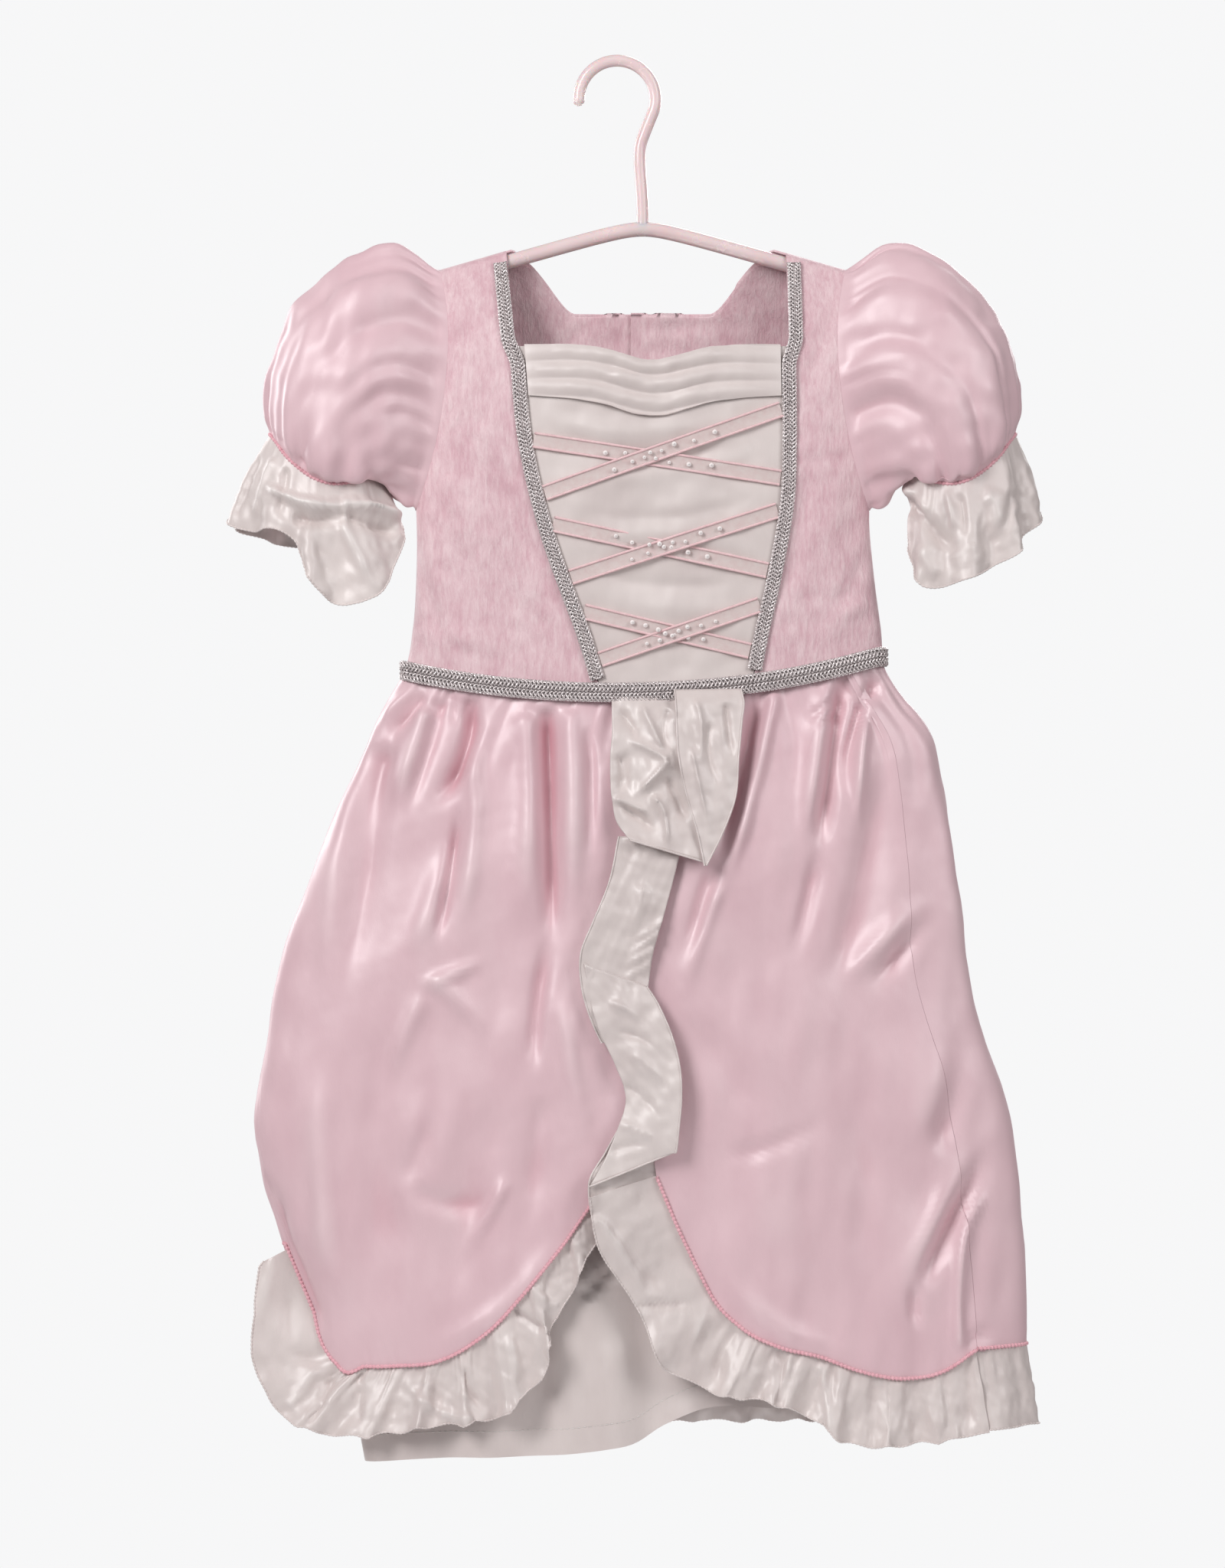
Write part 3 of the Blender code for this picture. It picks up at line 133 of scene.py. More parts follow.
NECK_Z, NECK_DIP, NECK_DIP_X, NECK_DIP_HALF = -166.0, 9.0, 6.0, 26.0
DRAPE_MARGIN, DRAPE_RISE, DRAPE_SAG, DRAPE_FOLDS, DRAPE_FOLD = 0.8, 1.0, 3.0, 3, 2.6
SCOOP_SHARE = 0.62  # part of a half back's width at which the back neckline is deepest
LAP_SHARES = (0.78, 0.88)  # where the right half back steps in under the left one
BRAID_TOP, BRAID_FOOT = -116.0, 2.2  # top of a princess braid, and its gap to the waist braid
STRAP_JOIN = (-178, -160)  # heights between which a princess braid moves onto the strap
BRAID_CROWDING = 0.7  # how closely the waist braid's columns stand at the sides
LIFT_POWER, WAVE_POWER = 1.3, 0.8  # how a hem ruffle's lift and waves grow from the seam
ARMHOLE_GAP = 0.6
ARMHOLE_BLEND = 0.4  # share of a sleeve over which the armhole's ring becomes the puff's
SLEEVE_COLUMNS, SLEEVE_ROWS = 184, 60
CUFF_COLUMNS, CUFF_ROWS = 220, 26
SLEEVE_LENGTH = 120.0  # of the cloth from the armhole to the cuff
CUFF_LENGTH, CUFF_GIRTH = 45, 330  # of a cuff ruffle's cloth
CAP_ROWS = 7  # of the bodice, over the hanger's arm
CENTRE_GRID, DRAPE_GRID = (90, 100), (90, 40)  # columns and rows
UNDER_GRID, CASCADE_GRID = (110, 90), (46, 64)
TAPE_COLUMNS, TAPE_ROWS = 5, 80
SKIRT_ROW_POWER = 1.35  # the skirt's rows stand closer near the waist
HOLD_DROP = 24  # below the waist, over which the skirt's folds grow
BRAID_POINTS, WAIST_POINTS, LACE_POINTS = 60, 400, 90
# Places across a braid as shares of its width: a plait's middle, the swing of its cords, the beaded edge
PLAIT_PLACE, PLAIT_SWING, BRAID_EDGE = 0.235, 0.2, 0.47
EDGE_RADIUS, EDGE_BEAD, EDGE_PITCH = 0.62, 0.22, 2.2  # of the beaded edge, its beads and their spacing
RIBBON_EDGE, RIBBON_EDGE_RADIUS = 0.7, 0.75  # the edge lies this far inside the ribbon's side
BEAD_LIFT, BEAD_OVER = 0.9, 1.7  # more where the other ribbon passes over
CASCADE_EDGE = 0.6  # radius of its rolled edge
HOOK_TURN = (190, -26)  # degrees round the hook, from its tip to its stem
ROD_STEP, ROD_SIDES = 1.2, 20  # of the hanger's mesh
TIP_FLAT = 0.3  # cut off a rod's rounded end

# The photograph's frame: its size and the hook's seat in pixels, and the size of a pixel at the dress
PHOTO_WIDTH, PHOTO_HEIGHT = 1600, 2048
SEAT_PIXEL = (806, 87)
MM_PER_PIXEL = 0.45
CAMERA_DISTANCE = 3.2
SENSOR = 36.0
AMBIENT = 0.25
KEY_POWER, FILL_POWER, BACK_POWER = 54.0, 26.0, 44.0


def table(names, *rows):
    """A table with named columns, a row for each section or fold."""
    return dict(zip(names.split(), np.array(rows, float).T))


# The body of the dress: how far it reaches to the left and right, and its half depth
BODY = table(
    "z left right depth",
    (-825, 173, 214, 34), (-790, 180, 222, 35), (-762, 187, 226, 35), (-723, 203, 227, 35),
    (-692, 214, 225, 35), (-647, 225, 220, 35), (-620, 228, 216, 35), (-590, 225, 209, 34.5),
    (-559, 220, 198, 34), (-531, 213, 190, 33), (-504, 205, 187, 32), (-476, 196, 185, 31),
    (-449, 186, 182, 29.5), (-423, 175, 178, 28), (-393, 162, 170, 25.5), (-370, 148, 154, 22.5),
    (-352, 139, 143, 21.4), (-330, 135, 140, 21.7), (-300, 133, 136, 23), (-261, 133, 133, 25),
    (-220, 137, 137, 25.5), (-100, 140, 140, 26),
)

# Half depth of the bodice at a distance below the shoulder line
SHOULDER = table("below depth", (6.6, 6.6), (14, 8.8), (30, 12.5), (60, 18), (100, 22.5))

# Edge of the armhole, from the shoulder to the underarm
ARMHOLE = table(
    "z x",
    (-119, 119), (-140, 115), (-170, 114), (-200, 117), (-230, 123), (-250, 129), (-261, 133),
)

# The princess lines, where the centre panel meets the side panels
PRINCESS = table(
    "z left right",
    (-108, -80, 84), (-165, -74, 85), (-225, -68, 85.5), (-253, -62, 84.6), (-281, -54, 80.5),
    (-309, -44, 75), (-333, -35, 69.5), (-362, -26, 64),
)

# Lacing ribbons across the centre panel: height of each end, and whether it passes over
LACES = {
    "lace_top_rise": (-252, -203, True),
    "lace_top_fall": (-221, -243, False),
    "lace_mid_rise": (-301, -262, True),
    "lace_mid_fall": (-270, -297, False),
    "lace_low_rise": (-349, -317, True),
    "lace_low_fall": (-321, -344, False),
}

# How much narrower the underskirt is, by the distance below the waist, and its own waves
UNDERSKIRT = table(
    "drop inset wave",
    (0, 3.2, 0.1), (12, 11.0, 0.4), (36, 17.0, 1.2), (300, 16, 2.2), (450, 11, 2.6),
)
UNDER_HEM = table(
    "x z",
    (-170, -819), (-108, -815), (-63, -814), (-22, -810), (-4, -806), (12, -796), (32, -787), (80, -786),
    (222, -788),
)

# Edges of the two front skirt panels, which meet under the cascade and part below it
OPENING = table(
    "z left right",
    (-362, 17.7, 18.3), (-459, 3.7, 4.3), (-516, -12.3, -11.7), (-556, -8.3, -7.7), (-600, -1, 1),
    (-625, -8, 4), (-650, -18, 8),
)

# Hem of each front panel, the outer edge of the ruffle sewn to it, and how far that stands out
HEM_LEFT = table(
    "x z outer_x outer_z lift",
    (-213, -692, -227, -699, 3), (-201, -723, -231, -724, 4), (-189, -747, -229, -752, 5),
    (-179, -761, -219, -778, 5), (-162, -762, -194, -799, 5), (-141, -761, -156, -802, 5),
    (-123, -759, -130, -797, 5), (-103, -750, -100, -794, 4), (-84, -735, -76, -786, 4),
    (-69, -718, -59, -765, 3), (-56, -702, -50, -737, 2), (-45, -688, -41, -715, 1),
    (-34, -672, -30, -695, 0), (-18, -650, -12, -672, -1),
)
HEM_RIGHT = table(
    "x z outer_x outer_z lift",
    (8, -650, -31, -662, 10), (17, -672, -26, -690, 10), (27, -694, -6, -722, 8), (39, -718, 6, -752, 7),
    (56, -737, 36, -774, 6), (79, -749, 64, -780, 5), (103, -755, 92, -788, 5), (125, -763, 118, -805, 5),
    (154, -768, 154, -807, 5), (176, -764, 181, -804, 4), (194, -752, 202, -800, 4),
)
# The back hem by girth share, from the right side seam round the back to the left side
HEM_BACK = table(
    "share z outer_dx outer_dz lift",
    (SIDE_SEAM_RIGHT, -751, 8, -48, 4), (0.50, -750, 6, -47, 4), (0.60, -754, 2, -45, 5),
    (0.75, -756, 0, -45, 5), (0.88, -753, -3, -45, 5), (0.93, -745, -10, -42, 5), (0.96, -731, -16, -36, 5),
    (0.978, -714, -18, -24, 4), (0.99, -703, -17, -15, 4),
)

# Puff sleeve, as sections from the armhole to the cuff seam: the outer and inner end of each
# section, its half depth, and how far its front and back sag
PUFF = table(
    "along outer_x outer_z inner_x inner_z depth sag",
    (0.00, 119.6, -119.6, 133.6, -261.2, 22, 0), (0.14, 144, -105, 139, -259.5, 30, 0),
    (0.30, 172, -113, 143, -257, 36, 0), (0.46, 197, -133, 146, -254, 38, 3),
    (0.60, 213, -156, 148, -251, 38, 7), (0.74, 220, -184, 150, -247, 36, 14),
    (0.88, 222, -204, 152, -241, 32, 20), (1.00, 219, -216, 154, -235, 26, 20),
)
SLEEVE_GATHER = table("along height", (0, 0), (0.1, 1.6), (0.3, 1.6), (0.55, 0.9), (0.85, 1.8), (1, 0.4))

# Free edge of each cuff ruffle: an angle round the sleeve from its outer side over the front
CUFF_RIGHT = table(
    "angle x z wave",
    (0, 234, -262, 3), (35, 222, -281, 4), (62, 207, -294, 4), (90, 186, -303, 4), (118, 166, -307, 3),
    (150, 156, -290, 2), (180, 159, -268, 1), (225, 166, -272, 2), (270, 190, -280, 4), (315, 224, -270, 4),
    (360, 234, -262, 3),
)
CUFF_LEFT = table(
    "angle x z wave",
    (0, 244, -266, 3), (28, 231, -274, 4), (50, 212, -273, 3), (66, 202, -283, 3), (84, 194, -302, 3),
    (104, 177, -317, 4), (124, 157, -312, 3), (150, 142, -290, 2), (180, 143, -267, 1), (225, 165, -274, 2),
    (270, 192, -282, 4), (315, 228, -276, 4), (360, 244, -266, 3),
)


def smooth(keys, values, at):
    """Values on a smooth curve through a table's rows, flat past its ends."""
    order = np.argsort(keys)
    x, y = np.asarray(keys, float)[order], np.asarray(values, float)[order]
    slope = np.gradient(y, x)
    at = np.clip(at, x[0], x[-1])
    i = np.clip(np.searchsorted(x, at) - 1, 0, len(x) - 2)
    h = x[i + 1] - x[i]
    t = (at - x[i]) / h
    start = (1 + 2 * t) * (1 - t) ** 2 * y[i] + t * (1 - t) ** 2 * h * slope[i]
    end = t * t * (3 - 2 * t) * y[i + 1] + t * t * (t - 1) * h * slope[i + 1]
    return start + end


def read(rows, key, column, at):
    """A table's column on a smooth curve, at values of its key column."""
    return smooth(rows[key], rows[column], at)


def ease(low, high, at):
    """A smooth step from 0 at low to 1 at high."""
    t = np.clip((at - low) / (high - low), 0, 1)
    return t * t * (3 - 2 * t)


# The body


def power(value):
    """The section's superellipse power, with its sign kept."""
    return np.sign(value) * np.abs(value) ** (2 / ROUNDNESS)


HEIGHTS = np.arange(-836.0, -92.0, 4.0)
TURNS = np.linspace(0, math.pi, 241)
SHARES = np.linspace(0, 0.5, 241)


def lay_out_girth():
    """For each height: the girth share at each turn round the section, and the turn at each share."""
    shares, turns = [], []
    for z in HEIGHTS:
        left, right, depth = (read(BODY, "z", name, z) for name in ("left", "right", "depth"))
        x = -(left + right) / 2 * power(np.cos(TURNS))
        y = depth * power(np.clip(np.sin(TURNS), 0, 1))
        girth = np.concatenate([[0], np.cumsum(np.hypot(np.diff(x), np.diff(y)))])
        shares.append(girth / girth[-1] / 2)
        turns.append(np.interp(SHARES, shares[-1], TURNS))
    return np.array(shares), np.array(turns)


SHARE_AT_TURN, TURN_AT_SHARE = lay_out_girth()


def look_up(grid, z, across):
    """A value from a grid of heights and places across, the places running from 0 to 1."""
    row = np.clip((z - HEIGHTS[0]) / (HEIGHTS[1] - HEIGHTS[0]), 0, len(HEIGHTS) - 1.001)
    column = np.clip(across * (grid.shape[1] - 1), 0, grid.shape[1] - 1.001)
    r, c = row.astype(int), column.astype(int)
    v, w = row - r, column - c
    near = grid[r, c] * (1 - w) + grid[r, c + 1] * w
    far = grid[r + 1, c] * (1 - w) + grid[r + 1, c + 1] * w
    return near * (1 - v) + far * v


def shoulder_z(x):
    """Height of the shoulder line over the hanger's arm."""
    return SHOULDER_Z - SHOULDER_SLOPE * np.abs(x)


def waist_z(x, front):
    """Height of the waist seam, which dips at the centre, most at the front."""
    dip = np.where(front, WAIST_DIP_FRONT, WAIST_DIP_BACK)
    return WAIST_Z + WAIST_SLOPE * x - dip * (1 - np.minimum(1.0, (x / WAIST_HALF) ** 2))


def draw_in(x, z, depth):
    """Half depth of the body at x, drawn in to the hanger's arm near the shoulder line."""
    below = shoulder_z(x) - z
    rest = SHOULDER_RADIUS - np.clip(below, 0, SHOULDER_RADIUS)
    cap = np.sqrt(SHOULDER_RADIUS**2 - rest**2)
    share = np.clip((below - SHOULDER_RADIUS) / SHOULDER_BLEND, 0, 1)
    wall_depth = read(SHOULDER, "below", "depth", below) * (1 - share) + depth * share
    return np.where(below < SHOULDER_RADIUS, cap, wall_depth)


def spot(z, s, inset=0.0):
    """Point of the body at a height and girth share, on a section made smaller by the inset."""
    s = s % 1.0
    turn = look_up(TURN_AT_SHARE, z, np.minimum(s, 1 - s) * 2)
    left, right, depth = (read(BODY, "z", name, z) - inset for name in ("left", "right", "depth"))
    x = (right - left) / 2 - (left + right) / 2 * power(np.cos(turn))
    y = draw_in(x, z, depth * power(np.clip(np.sin(turn), 0, 1)))
    return np.stack([x, np.where(s <= 0.5, -y, y), z + 0 * x], axis=-1)


def share_at(z, x):
    """Girth share of the front point at x."""
    z, x = np.broadcast_arrays(np.asarray(z, float), np.asarray(x, float))
    left, right = read(BODY, "z", "left", z), read(BODY, "z", "right", z)
    cosine = np.clip(((right - left) / 2 - x) / ((left + right) / 2), -1, 1)
    turn = np.arccos(np.sign(cosine) * np.abs(cosine) ** (ROUNDNESS / 2))
    return look_up(SHARE_AT_TURN, z, turn / math.pi)


def body_point(z, s, out=0.0, inset=0.0):
    """Point of the body moved out by a distance, square to the section."""
    z, s = np.broadcast_arrays(np.asarray(z, float), np.asarray(s, float))
    along = spot(z, s + SHARE_STEP, inset) - spot(z, s - SHARE_STEP, inset)
    length = np.hypot(along[..., 0], along[..., 1])
    normal = np.stack([along[..., 1] / length, -along[..., 0] / length, 0 * length], axis=-1)
    return spot(z, s, inset) + np.asarray(out)[..., None] * normal


def front_point(x, z, out=0.0):
    """Point of the front of the body at x, moved out by a distance."""
    return body_point(z, share_at(z, x), out)


# Bodice


def hang(top, bottom, t, start=CAP_START):
    """Height of a row: the first few bend over the hanger's arm, the rest share the way down."""
    angle = start + (math.pi / 2 - start) * np.minimum(1, t / CAP_SHARE)
    rest = np.clip((t - CAP_SHARE) / (1 - CAP_SHARE), 0, 1)
    cap = top - SHOULDER_RADIUS * (1 - np.cos(angle))
    return cap + (bottom - cap) * rest


def armhole_share(z, sign):
    """Girth share of the front edge of an armhole, or of the side seam below it."""
    side = SIDE_SHARE if sign < 0 else 0.5 - SIDE_SHARE
    return np.where(z > UNDERARM_Z, share_at(z, sign * read(ARMHOLE, "z", "x", z)), side)


def side_front(sign):
    """Velvet side front, from the princess line to the armhole and the side seam."""
    column = "left" if sign < 0 else "right"

    def share(z, outward):
        inner = share_at(z, read(PRINCESS, "z", column, z) + sign * SEAM)
        return inner + (armhole_share(z, sign) - inner) * outward

    def shape(across, t):
        outward = 1 - across if sign < 0 else across
        top = shoulder_z(STRAP_INNER + (STRAP_OUTER - STRAP_INNER) * outward)
        bottom = WAIST_GUESS
        for _ in range(4):
            top = shoulder_z(spot(top, share(top, outward))[..., 0])
            z = hang(top, bottom, t)
            s = share(z, outward)
            bottom = waist_z(spot(z, s)[..., 0], True) + WAIST_SEAM
        belly = SIDE_BULGE * np.sin(math.pi * across) * np.sin(math.pi * t) ** 2
        return body_point(z, s, belly)

    return shape


def neck_z(x):
    """Front neckline: nearly square, with a shallow dip at the centre."""
    return NECK_Z - NECK_DIP * np.exp(-(((x - NECK_DIP_X) / NECK_DIP_HALF) ** 2))


def centre_front(across, t):
    """White satin centre front, between the princess lines."""
    z = UNDERARM_Z + 0 * across
    for _ in range(6):
        left = read(PRINCESS, "z", "left", z) + SEAM
        right = read(PRINCESS, "z", "right", z) - SEAM
        x = left + (right - left) * across
        z = neck_z(x) + (waist_z(x, True) + WAIST_SEAM - neck_z(x)) * t
    return front_point(x, z)


def neck_drape(across, t):
    """White satin laid in three soft folds along the neckline, between the braids."""
    margin = PRINCESS_BRAID / 2 + DRAPE_MARGIN
    guess = NECK_Z - DRAPE_HEIGHT * t
    left = read(PRINCESS, "z", "left", guess) + margin
    right = read(PRINCESS, "z", "right", guess) - margin
    x = left + (right - left) * across
    z = neck_z(x) + DRAPE_RISE - DRAPE_HEIGHT * t - DRAPE_SAG * np.sin(math.pi * across) * t
    inner = np.sqrt(np.sin(math.pi * across))
    fold = np.abs(np.sin(DRAPE_FOLDS * math.pi * t + 0.6 * np.sin(4 * across))) * inner
    return front_point(x, z, SATIN + 0.5 + DRAPE_FOLD * fold)


def half_back(sign):
    """Velvet back, from the centre back to the armhole and the side seam. The left one laps over."""

    def share(z, inward):
        outer = 1 - armhole_share(z, sign)
        centre = 1 - share_at(z, -sign * BACK_LAP)
        return outer + (centre - outer) * inward

    def shape(across, t):
        k = 1 - across if sign < 0 else across
        turn = np.clip((k - STRAP_SHARE) / STRAP_TURN, 0, 1)
        start = CAP_START + (math.pi / 2 - CAP_START) * turn
        strap = shoulder_z(STRAP_OUTER) + 0 * k
        bottom = WAIST_GUESS
        for _ in range(4):
            strap = shoulder_z(spot(strap, share(strap, np.minimum(k, STRAP_SHARE)))[..., 0])
            top = strap - BACK_SCOOP * ease(STRAP_SHARE + STRAP_TURN, SCOOP_SHARE, k)
            z = hang(top, bottom, t, start)
            s = share(z, k)
            bottom = waist_z(spot(z, s)[..., 0], False) + WAIST_SEAM
        under = ease(*LAP_SHARES, k) * LAP_DEPTH if sign > 0 else 0 * k
        return body_point(z, s, -under)

    return shape


# Folds placed one by one. Each is a curve through three points, with its width and height and the
# shares of its length in which it rises and falls away. A trough has a negative height.
FOLD_COLUMNS = "x0 z0 x1 z1 x2 z2 width height rise fall"
FOLD_FADE = (0.3, 0.4)  # usual rise and fall


def fold_table(*rows):
    """A table of folds, a row for each. A row of eight numbers has the usual rise and fall."""
    return table(FOLD_COLUMNS, *(row if len(row) > 8 else (*row, *FOLD_FADE) for row in rows))


FOLDS_LEFT = fold_table(
    (-101, -370, -105, -405, -124, -437, 5.0, -4.2, 0.05, 0.35),
    (-111, -370, -111, -378, -110, -390, 2.5, -1.5, 0.05, 0.5),
    (-57, -374, -54, -447, -54, -520, 5.5, -4.6, 0.05, 0.3), (-54, -505, -62, -556, -63, -592, 4.5, -3.0),
    (-32, -385, -30, -429, -31, -470, 3.0, -1.6, 0.2, 0.4),
    (-108, -430, -113, -477, -121, -515, 3.0, -2.4, 0.3, 0.3),
    (-113, -450, -123, -492, -137, -525, 7.0, 2.4, 0.4, 0.4),
    (-99, -390, -99, -460, -110, -512, 6.0, 2.6, 0.2, 0.4),
    (-43, -376, -41, -441, -42, -525, 6.0, 2.4, 0.05, 0.5),
    (-68, -378, -66, -447, -70, -510, 6.0, 2.0, 0.05, 0.5),
    (-128, -362, -144, -374, -156, -390, 3.0, 2.0, 0.1, 0.4),
    (-128, -369, -138, -381, -150, -393, 3.0, -1.8, 0.1, 0.4),
    (-125, -376, -135, -406, -148, -440, 6.0, 2.6, 0.1, 0.5),
    (-118, -372, -126, -402, -140, -445, 4.0, -2.0, 0.05, 0.4),
    (-88, -522, -112, -533, -134, -541, 3.5, 1.8, 0.4, 0.4),
    (-88, -572, -110, -545, -126, -537, 5.0, 1.6, 0.4, 0.3),
    (-150, -598, -138, -566, -124, -540, 5.0, 1.6, 0.4, 0.3),
    (-140, -660, -130, -634, -116, -606, 6.0, -1.8, 0.3, 0.5),
    (-142, -654, -114, -666, -86, -663, 6.0, -1.6), (-78, -648, -90, -672, -110, -704, 4.0, 1.8, 0.3, 0.5),
    (-50, -684, -81, -726, -132, -754, 6.0, 1.8), (-190, -555, -186, -663, -172, -730, 9.0, 2.2, 0.4, 0.4),
    (-223, -650, -209, -697, -186, -750, 7.0, -2.6, 0.3, 0.2),
    (-160, -400, -180, -478, -186, -560, 9.0, 1.8, 0.2, 0.5),
    (-150, -395, -163, -470, -168, -560, 10, -2.4, 0.1, 0.5),
    (-150, -560, -152, -640, -148, -720, 12, -1.8, 0.4, 0.3),
    (-95, -590, -100, -650, -112, -730, 12, -1.6, 0.4, 0.3), (-60, -600, -62, -640, -72, -700, 7.0, -2.0),
    (-48, -540, -40, -590, -30, -640, 6.0, 1.8),
)
FOLDS_RIGHT = fold_table(
    (69, -362, 59, -410, 41, -476, 6.0, -3.3, 0.03, 0.3), (43, -464, 34, -495, 24, -530, 5.0, -3.0),
    (77, -366, 65, -420, 47, -484, 4.5, 2.8, 0.05, 0.3), (47, -474, 35, -505, 22, -548, 4.5, 2.2, 0.3, 0.5),
    (118, -352, 111, -405, 102, -466, 5.0, -3.8, 0.03, 0.3),
    (103, -455, 95, -495, 86, -528, 5.0, -2.2, 0.3, 0.5),
    (109, -356, 101, -410, 90, -470, 6.0, 2.4, 0.05, 0.4),
    (139, -358, 122, -396, 118, -432, 4.0, -3.2, 0.03, 0.4),
    (133, -366, 127, -408, 126, -450, 3.5, 2.4, 0.1, 0.4), (112, -370, 104, -378, 94, -386, 2.5, -1.4),
    (116, -378, 108, -384, 99, -390, 2.2, -1.2), (140, -405, 126, -500, 108, -545, 10, -2.6, 0.2, 0.4),
    (172, -494, 153, -518, 130, -545, 5.0, -2.6, 0.65, 0.4),
    (168, -486, 140, -512, 108, -545, 6.0, 2.4, 0.6, 0.4),
    (211, -624, 181, -675, 160, -720, 6.0, -4.0, 0.55, 0.3), (161, -712, 158, -726, 163, -740, 4.0, -2.0),
    (203, -622, 172, -672, 150, -722, 8.0, 2.4, 0.55, 0.3),
    (202, -662, 187, -688, 184, -752, 3.0, 2.0, 0.2, 0.05), (187, -746, 196, -744, 208, -739, 3.0, -1.2),
    (44, -636, 72, -633, 113, -614, 4.0, -1.2, 0.4, 0.4),
    (190, -585, 178, -616, 174, -640, 7.0, -2.2, 0.6, 0.4),
    (178, -570, 166, -605, 160, -640, 8.0, 1.6, 0.4, 0.4), (178, -400, 190, -501, 200, -568, 10, 1.6),
    (28, -552, 52, -590, 66, -630, 10, -1.6, 0.4, 0.4), (70, -560, 82, -640, 96, -735, 16, 1.4, 0.4, 0.3),
    (120, -570, 128, -650, 132, -740, 12, -1.6, 0.4, 0.3), (45, -700, 80, -738, 140, -757, 6.0, 1.4),
)
FOLDS_BACK = fold_table(
    (-110, -358, -118, -430, -140, -520, 6.0, -3.8, 0.03, 0.4),
    (-70, -358, -72, -450, -80, -560, 6.0, -4.0, 0.03, 0.4),
    (-45, -360, -44, -420, -48, -500, 4.0, -3.0, 0.03, 0.5),
    (-10, -360, -8, -450, -14, -600, 6.5, -4.2, 0.03, 0.4),
    (28, -359, 30, -430, 40, -520, 5.0, -3.6, 0.03, 0.4),
    (62, -358, 70, -450, 86, -570, 6.0, -4.0, 0.03, 0.4),
    (104, -356, 118, -430, 132, -500, 5.0, -3.6, 0.03, 0.5),
    (-92, -365, -98, -460, -115, -600, 9.0, 2.6, 0.1, 0.4),
    (-58, -365, -60, -470, -66, -600, 7.0, 2.2, 0.1, 0.4),
    (10, -370, 14, -480, 12, -640, 10, 2.6, 0.1, 0.4), (46, -365, 52, -460, 66, -600, 7.0, 2.2, 0.1, 0.4),
    (84, -365, 98, -470, 112, -620, 9.0, 2.6, 0.1, 0.4),
    (-150, -450, -165, -560, -170, -690, 12, -2.4, 0.4, 0.3),
    (-40, -560, -50, -660, -60, -750, 12, -2.2, 0.4, 0.1),
    (-6, -600, -4, -680, -8, -750, 9.0, 1.8, 0.4, 0.1), (60, -560, 70, -660, 76, -750, 13, -2.4, 0.4, 0.1),
    (150, -470, 168, -580, 180, -720, 12, -2.6, 0.4, 0.2),
    (-110, -620, -100, -650, -70, -668, 5.0, 1.6, 0.4, 0.4),
    (130, -600, 112, -630, 90, -640, 5.0, -1.6, 0.4, 0.4),
    (-30, -470, -6, -482, 20, -478, 4.0, -1.2, 0.4, 0.4),
)
FOLDS_BODICE = fold_table(
    (-94, -222, -70, -280, -44, -330, 4.5, -1.5, 0.3, 0.3),
    (-101, -230, -82, -280, -62, -322, 5.0, 1.2, 0.3, 0.3),
    (98, -222, 92, -275, 80, -322, 4.5, -1.5, 0.3, 0.3),
    (-131, -285, -125, -312, -115, -340, 4.0, -1.5, 0.3, 0.3),
    (-128, -330, -100, -338, -76, -345, 5.0, 1.1), (131, -282, 122, -305, 106, -330, 5.0, -1.3),
    (104, -330, 118, -322, 134, -318, 5.0, 1.1), (-120, -235, -108, -262, -104, -300, 7.0, 1.2),
    (118, -232, 112, -262, 110, -300, 7.0, 1.2), (-112, -150, -98, -168, -88, -198, 5.0, -1.2),
    (112, -148, 102, -170, 96, -202, 5.0, -1.2),
)
FOLDS_BODICE_BACK = fold_table(
    (-60, -190, -56, -240, -66, -300, 6.0, -1.2), (62, -185, 60, -240, 70, -300, 6.0, -1.2),
    (-105, -280, -80, -300, -50, -306, 5.0, 1.2), (108, -284, 84, -302, 54, -308, 5.0, 1.2),
    (-110, -318, -84, -330, -50, -334, 5.0, -1.2), (112, -320, 84, -332, 52, -336, 5.0, -1.2),
    (-30, -230, -26, -270, -28, -330, 5.0, 1.0), (34, -236, 30, -276, 32, -330, 5.0, 1.0),
)
FOLDS_CENTRE = fold_table(
    (-62, -205, -10, -216, 60, -206, 5.0, 1.3, 0.3, 0.3),
    (-58, -216, 0, -229, 70, -222, 4.0, -1.3, 0.3, 0.3),
    (-50, -246, 12, -240, 74, -226, 6.0, 1.5, 0.3, 0.3),
    (-40, -262, 16, -266, 70, -252, 4.0, -1.2, 0.3, 0.3),
    (-36, -280, 20, -276, 66, -284, 6.0, 1.4, 0.3, 0.3),
    (-30, -298, 14, -306, 60, -302, 4.0, -1.2, 0.3, 0.3),
    (-24, -318, 22, -318, 58, -326, 6.0, 1.2, 0.3, 0.3),
    (-12, -340, 20, -334, 54, -342, 4.0, -1.1, 0.3, 0.3),
)

